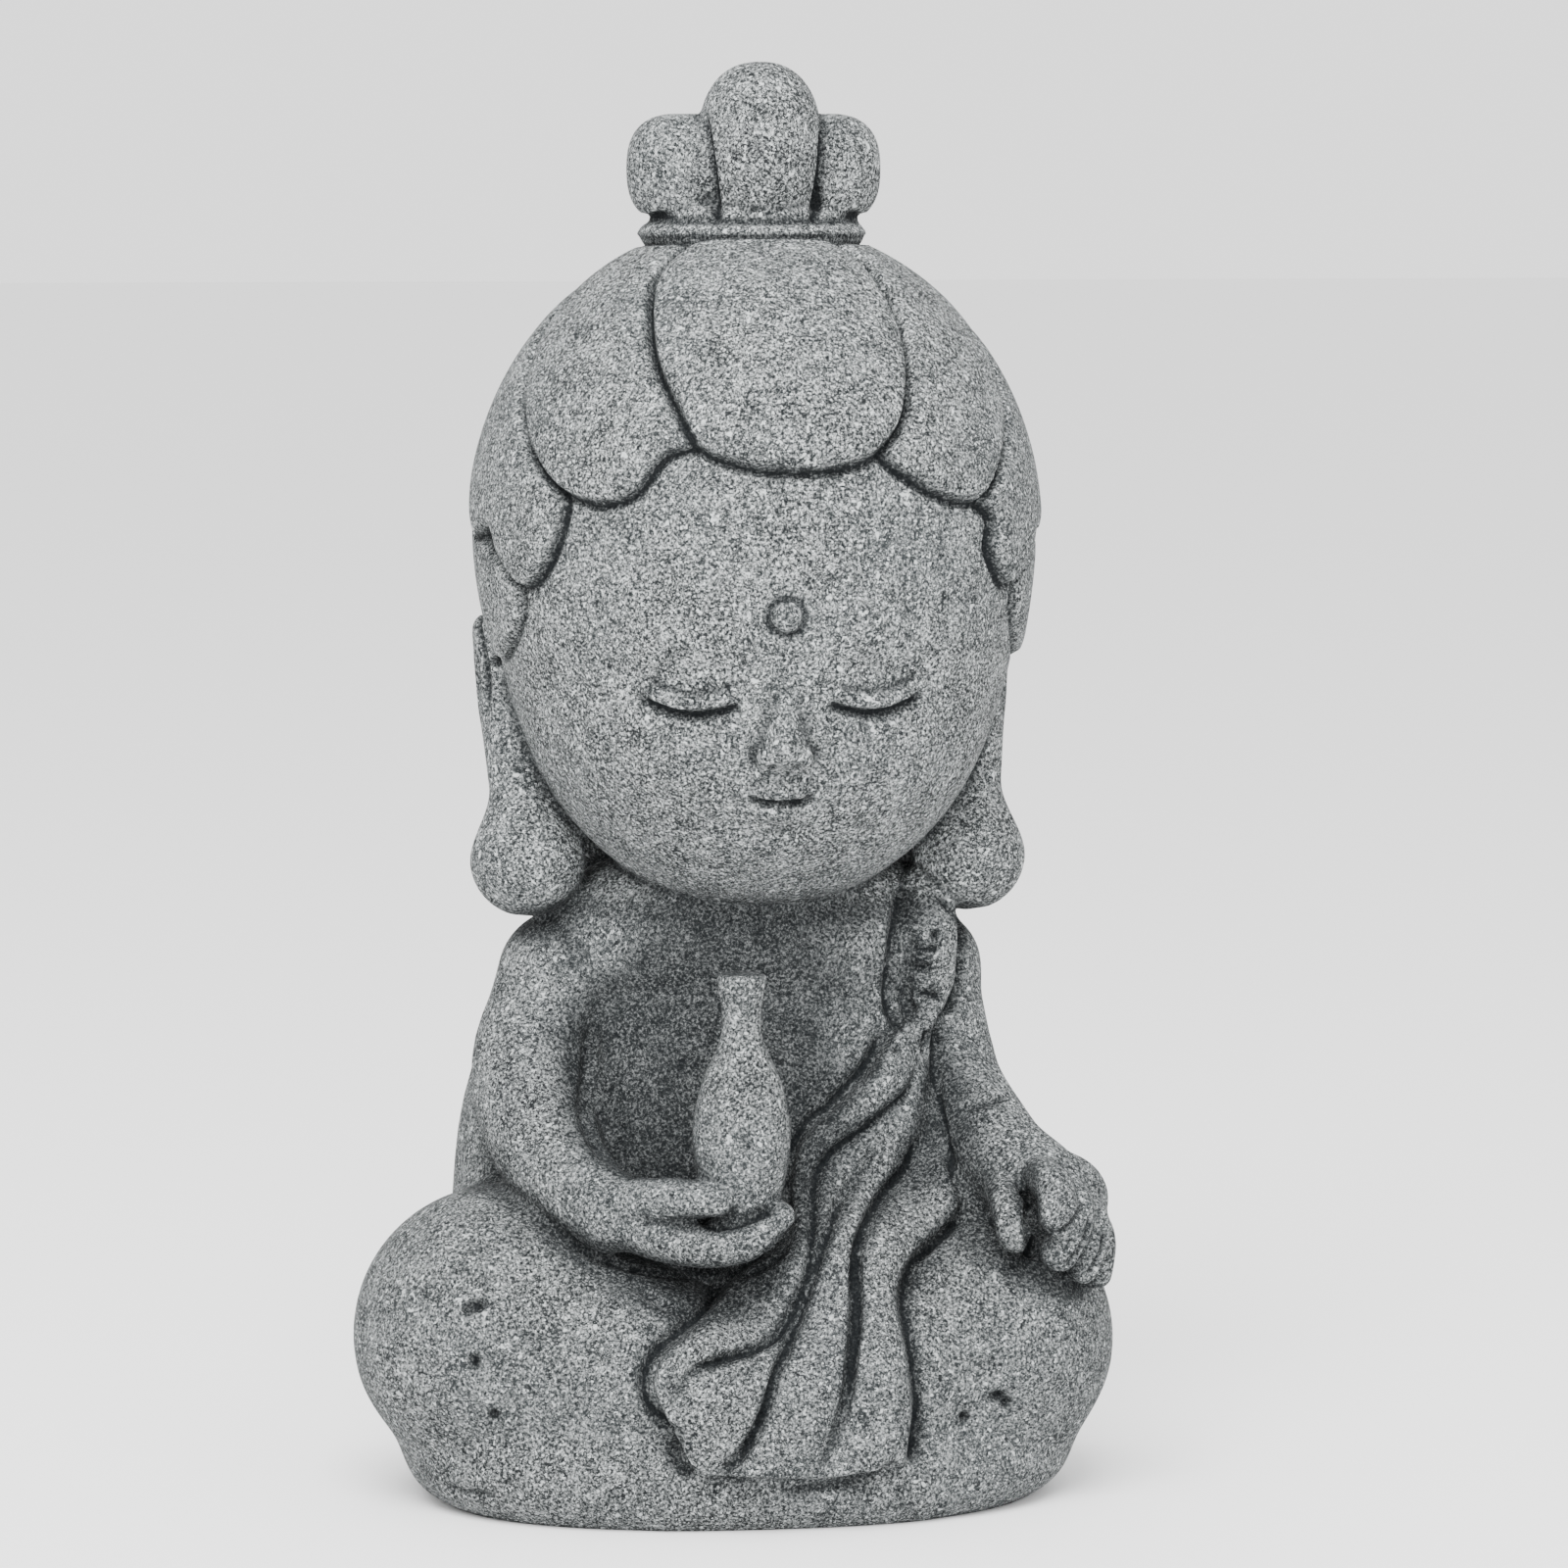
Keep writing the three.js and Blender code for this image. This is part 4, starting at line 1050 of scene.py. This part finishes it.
class FigurineSizes(bpy.types.PropertyGroup):
    grain: length("Carving grain", "Size of the smallest step in the carved surface", 0.35)
    lock_rise: FloatProperty(
        name="Lock rise", description="How high the locks stand, as a share of the drawn rise", default=1.0
    )
    tie_width: length("Tie width", "Height of the cord round the foot of the bun", 2.6)
    tie_radius: length("Tie radius", "Radius of the cord round the foot of the bun", 10.6)
    earlobe: length("Earlobe radius", "Radius of the heavy earlobes", 5.3)
    vase_height: length("Vase height", "Height of the vase in the hand", 22.5)
    vase_radius: length("Vase radius", "Radius of the vase's belly", 4.4)
    vase_neck: length("Vase neck", "Radius of the vase's neck", 1.75)
    finger: length("Finger radius", "Radius of a finger of the hand on the knee", 1.8)
    robe_thickness: length("Robe thickness", "How far the robe stands off the body", 1.2)
    fold_rise: length("Fold rise", "How far a fold stands off the robe", 1.3)


class StoneFinish(bpy.types.PropertyGroup):
    body: tint("Body grey", "Colour the stone averages to", "#464b4d")
    dark_grain: tint("Dark grain", "Darker powder in the grain", "#101314")
    pale_grain: tint("Pale grain", "Paler powder in the grain", "#cdd1d1")
    fleck: tint("Pale flecks", "Single pale grains", "#c4c8c8")
    pore: tint("Pores", "Small open pores", "#121517")
    # The dark wash colour also serves as the painted shade of hollows, creases and sheltered parts.
    wash_and_shade: tint("Dark wash", "Wash left in the grooves and hollows", "#0e1113")
    # How strongly the dark wash and the painted shade darken the stone.
    wash_and_shade_strength: FloatProperty(
        name="Wash strength", description="How much of the dark wash stays", default=0.9, min=0, max=1,
        subtype="FACTOR",
    )


class StudioLook(bpy.types.PropertyGroup):
    floor: tint("Floor", "Colour of the card the figurine stands on", "#f4f4f4")
    key_power: FloatProperty(
        name="Key light", description="Power of the main softbox", default=13.0, unit="POWER"
    )
    fill_power: FloatProperty(
        name="Fill light", description="Power of the low softbox", default=3.5, unit="POWER"
    )
    sky: FloatProperty(name="Room light", description="Strength of the white surroundings", default=1.8)


# Operators
def modified(mesh, kind, **settings):
    """A copy of the mesh with one modifier run on it."""
    holder = bpy.data.objects.new("holder", mesh)
    bpy.context.scene.collection.objects.link(holder)
    modifier = holder.modifiers.new(kind, kind)
    for name, value in settings.items():
        setattr(modifier, name, value)
    result = bpy.data.meshes.new_from_object(holder.evaluated_get(bpy.context.evaluated_depsgraph_get()))
    bpy.data.objects.remove(holder)
    return result


def fused(shells, grain):
    """Fuses closed shells into one even surface."""
    rough = bpy.data.meshes.new("shells")
    shells.to_mesh(rough)
    shells.free()
    whole = modified(rough, "REMESH", mode="VOXEL", voxel_size=grain, use_smooth_shade=True)
    bpy.data.meshes.remove(rough)
    return whole


MOST_TRIANGLES = 190000
HOLLOW_PASSES = 10
HOLLOW_FULL = 0.16  # how deep a fine hollow is when its painted shade is full
SHELTER_LOW, SHELTER_FULL = 0.08, 0.58
HEAD_LESS_SHADE = 0.6  # how much more shelter the painted shade needs on the head, which is shaded less
HEAD_SHADE_FROM, HEAD_SHADE_ABOVE = 53, 57  # levels between which the head's lesser painted shade takes over
# Strengths of the painted shade where the figure shelters itself and in fine hollows, of an even darkening below
# the head, and the most the broad darkening may reach
BROAD_SHADE, HOLLOW_SHADE, BELOW_HEAD_DARKENING, MOST_BROAD_DARKENING = 0.78, 0.7, 0.22, 0.82


class FIGURINE_OT_casting(bpy.types.Operator):
    """Model the figurine as one carved stone casting"""

    bl_idname = "figurine.casting"
    bl_label = "Stone casting"

    def execute(self, context):
        sizes, finish = context.scene.figurine_sizes, context.scene.stone_finish
        body, head, shells = [], [], []
        make_body(body)
        make_head(head)
        under = BVHTree.FromBMesh(joined(body))
        ground = BVHTree.FromBMesh(joined(head))
        make_bun(shells, sizes)
        make_ears(shells, sizes)
        make_nose(shells)
        make_vase_arm(shells)
        make_knee_arm(shells, sizes)
        make_vase(shells, sizes)
        make_robe(shells, under, sizes)
        make_strap(shells, under)
        mesh = fused(joined(body + head + shells), sizes.grain / MM * (1))
        clay = Clay(mesh)
        clay.relax(np.full(len(clay.points), 0.5), 3)
        run_base_together(clay)
        comb_hair(clay, ground, sizes.lock_rise)
        clay.turn_normals()
        carve_tie(clay, sizes)
        model_face(clay)
        carve_front(clay)
        carve_back(clay)
        carve_ears(clay)
        clay.relax(RUN * np.clip(1.5 * clay.wash_and_shade, 0, 1), 2)
        clay.store_wash_and_shade()
        self.cut_flat(mesh)
        self.thin(mesh)
        self.darken(mesh)
        mesh.transform(Matrix.Translation(SHIFT))
        mesh.transform(Matrix.Scale(MODULE, 4))
        piece = bpy.data.objects.new(PIECE, mesh)
        context.scene.collection.objects.link(piece)
        mesh.name = PIECE
        mesh.materials.clear()
        mesh.materials.append(stone_material(finish))
        mesh.shade_smooth()
        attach(piece, "root")
        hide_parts(NODE)
        return {"FINISHED"}

    @staticmethod
    def cut_flat(mesh):
        """Saws the underside flat and closes it."""
        bm = bmesh.new()
        bm.from_mesh(mesh)
        everything = bm.verts[:] + bm.edges[:] + bm.faces[:]
        cut = bmesh.ops.bisect_plane(
            bm, geom=everything, plane_co=(0, 0, 0), plane_no=(0, 0, 1), clear_inner=True
        )
        rim = [item for item in cut["geom_cut"] if isinstance(item, bmesh.types.BMEdge)]
        bmesh.ops.contextual_create(bm, geom=rim)
        bm.to_mesh(mesh)
        bm.free()

    @staticmethod
    def thin(mesh):
        """Thins the mesh where it is plain, to stay under a number of triangles."""
        triangles = sum(len(face.vertices) - 2 for face in mesh.polygons)
        if triangles <= MOST_TRIANGLES:
            return
        thinned = modified(mesh, "DECIMATE", ratio=MOST_TRIANGLES / triangles)
        bm = bmesh.new()
        bm.from_mesh(thinned)
        bm.to_mesh(mesh)
        bm.free()
        bpy.data.meshes.remove(thinned)

    @staticmethod
    def darken(mesh):
        """Adds painted shade to the dark wash in the grooves: darker in fine hollows, wherever the figure
        shelters itself and in the listed shade patches, with a thin even darkening below the head.
        """
        clay = Clay(mesh)
        mesh.attributes["wash_and_shade"].data.foreach_get("value", clay.wash_and_shade)
        # Painted shade: darker in fine hollows and where the figure hides the sky.
        fine = np.clip(hollows(clay, HOLLOW_PASSES) / HOLLOW_FULL, 0, 1)
        head = ramp(clay.points[:, 2], HEAD_SHADE_FROM, HEAD_SHADE_ABOVE)
        broad = BROAD_SHADE * ramp(shelter(clay) - HEAD_LESS_SHADE * head, SHELTER_LOW, SHELTER_FULL)
        # Darkens the listed patches of the body as painted shade.
        for centre, radii, strength in SHADE_PATCHES:
            shade_patch = smooth_step(SHADE_PATCH_SOFTNESS * (1 - away_from(clay.points, centre, radii)))
            broad += strength * shade_patch * (1 - broad)
        broad = np.clip(broad + BELOW_HEAD_DARKENING * (1 - head), 0, MOST_BROAD_DARKENING)
        clay.wash_and_shade = np.maximum(clay.wash_and_shade, np.maximum(HOLLOW_SHADE * fine, broad))
        clay.store_wash_and_shade()


FLOOR_SPAN = 4
LIGHT_AIM = Vector((0, 0, 0.07))
KEY_PLACE, KEY_SPAN = (-0.14, -0.48, 0.62), 0.45
FILL_PLACE, FILL_SPAN = (0.2, -0.7, 0.1), 0.6


class FIGURINE_OT_stage(bpy.types.Operator):
    """Set up the floor, the soft lights and the camera"""

    bl_idname = "figurine.stage"
    bl_label = "Stage"

    def execute(self, context):
        look = context.scene.studio_look
        bm = bmesh.new()
        bmesh.ops.create_grid(bm, x_segments=1, y_segments=1, size=FLOOR_SPAN)
        card = bpy.data.meshes.new("floor")
        bm.to_mesh(card)
        bm.free()
        floor = bpy.data.objects.new("floor", card)
        context.scene.collection.objects.link(floor)
        card.materials.append(floor_material(look))
        world = bpy.data.worlds.new("white_room")
        world.use_nodes = True
        sky = world.node_tree.nodes["Background"]
        sky.inputs["Color"].default_value = (1, 1, 1, 1)
        sky.inputs["Strength"].default_value = look.sky
        context.scene.world = world
        self.softbox("key", KEY_PLACE, KEY_SPAN, look.key_power)
        self.softbox("fill", FILL_PLACE, FILL_SPAN, look.fill_power)
        self.camera(context.scene)
        return {"FINISHED"}

    @staticmethod
    def softbox(name, place, size, power):
        light = bpy.data.lights.new(name, "AREA")
        light.size = size
        light.energy = power
        lamp = bpy.data.objects.new(name, light)
        lamp.location = place
        lamp.rotation_mode = "QUATERNION"
        lamp.rotation_quaternion = (LIGHT_AIM - lamp.location).to_track_quat("-Z", "Y")
        bpy.context.scene.collection.objects.link(lamp)

    @staticmethod
    def camera(scene):
        """The photograph's viewing place, on a picture 1600 pixels square."""
        lens = bpy.data.cameras.new("camera")
        lens.sensor_width = 36
        lens.lens = lens.sensor_width * CAMERA_STANDOFF / (PICTURE / PIXELS_PER_MODULE)
        lens.clip_start, lens.clip_end = 0.01, 20
        camera = bpy.data.objects.new("camera", lens)
        camera.location = (PICTURE_MIDDLE + SHIFT - INTO * CAMERA_STANDOFF) * MODULE
        camera.rotation_mode = "QUATERNION"
        camera.rotation_quaternion = INTO.to_track_quat("-Z", "Y")
        scene.collection.objects.link(camera)
        scene.camera = camera


class FIGURINE_PT_panel(bpy.types.Panel):
    """Lists the steps that make the figurine"""

    bl_label = "Figurine"
    bl_space_type = "VIEW_3D"
    bl_region_type = "UI"
    bl_category = "Figurine"

    def draw(self, context):
        for group in (context.scene.figurine_sizes, context.scene.stone_finish, context.scene.studio_look):
            box = self.layout.box()
            for name in group.bl_rna.properties.keys():
                if name not in {"rna_type", "name"}:
                    box.prop(group, name)
        for step in STEPS:
            self.layout.operator(step.bl_idname)


STEPS = (FIGURINE_OT_casting, FIGURINE_OT_stage)
CLASSES = (FigurineSizes, StoneFinish, StudioLook, *STEPS, FIGURINE_PT_panel)


def register():
    for cls in CLASSES:
        bpy.utils.register_class(cls)
    bpy.types.Scene.figurine_sizes = PointerProperty(type=FigurineSizes)
    bpy.types.Scene.stone_finish = PointerProperty(type=StoneFinish)
    bpy.types.Scene.studio_look = PointerProperty(type=StudioLook)


def unregister():
    del bpy.types.Scene.studio_look
    del bpy.types.Scene.stone_finish
    del bpy.types.Scene.figurine_sizes
    for cls in reversed(CLASSES):
        bpy.utils.unregister_class(cls)


def main():
    register()
    bpy.ops.figurine.casting()
    bpy.ops.figurine.stage()


if __name__ == "__main__":
    main()
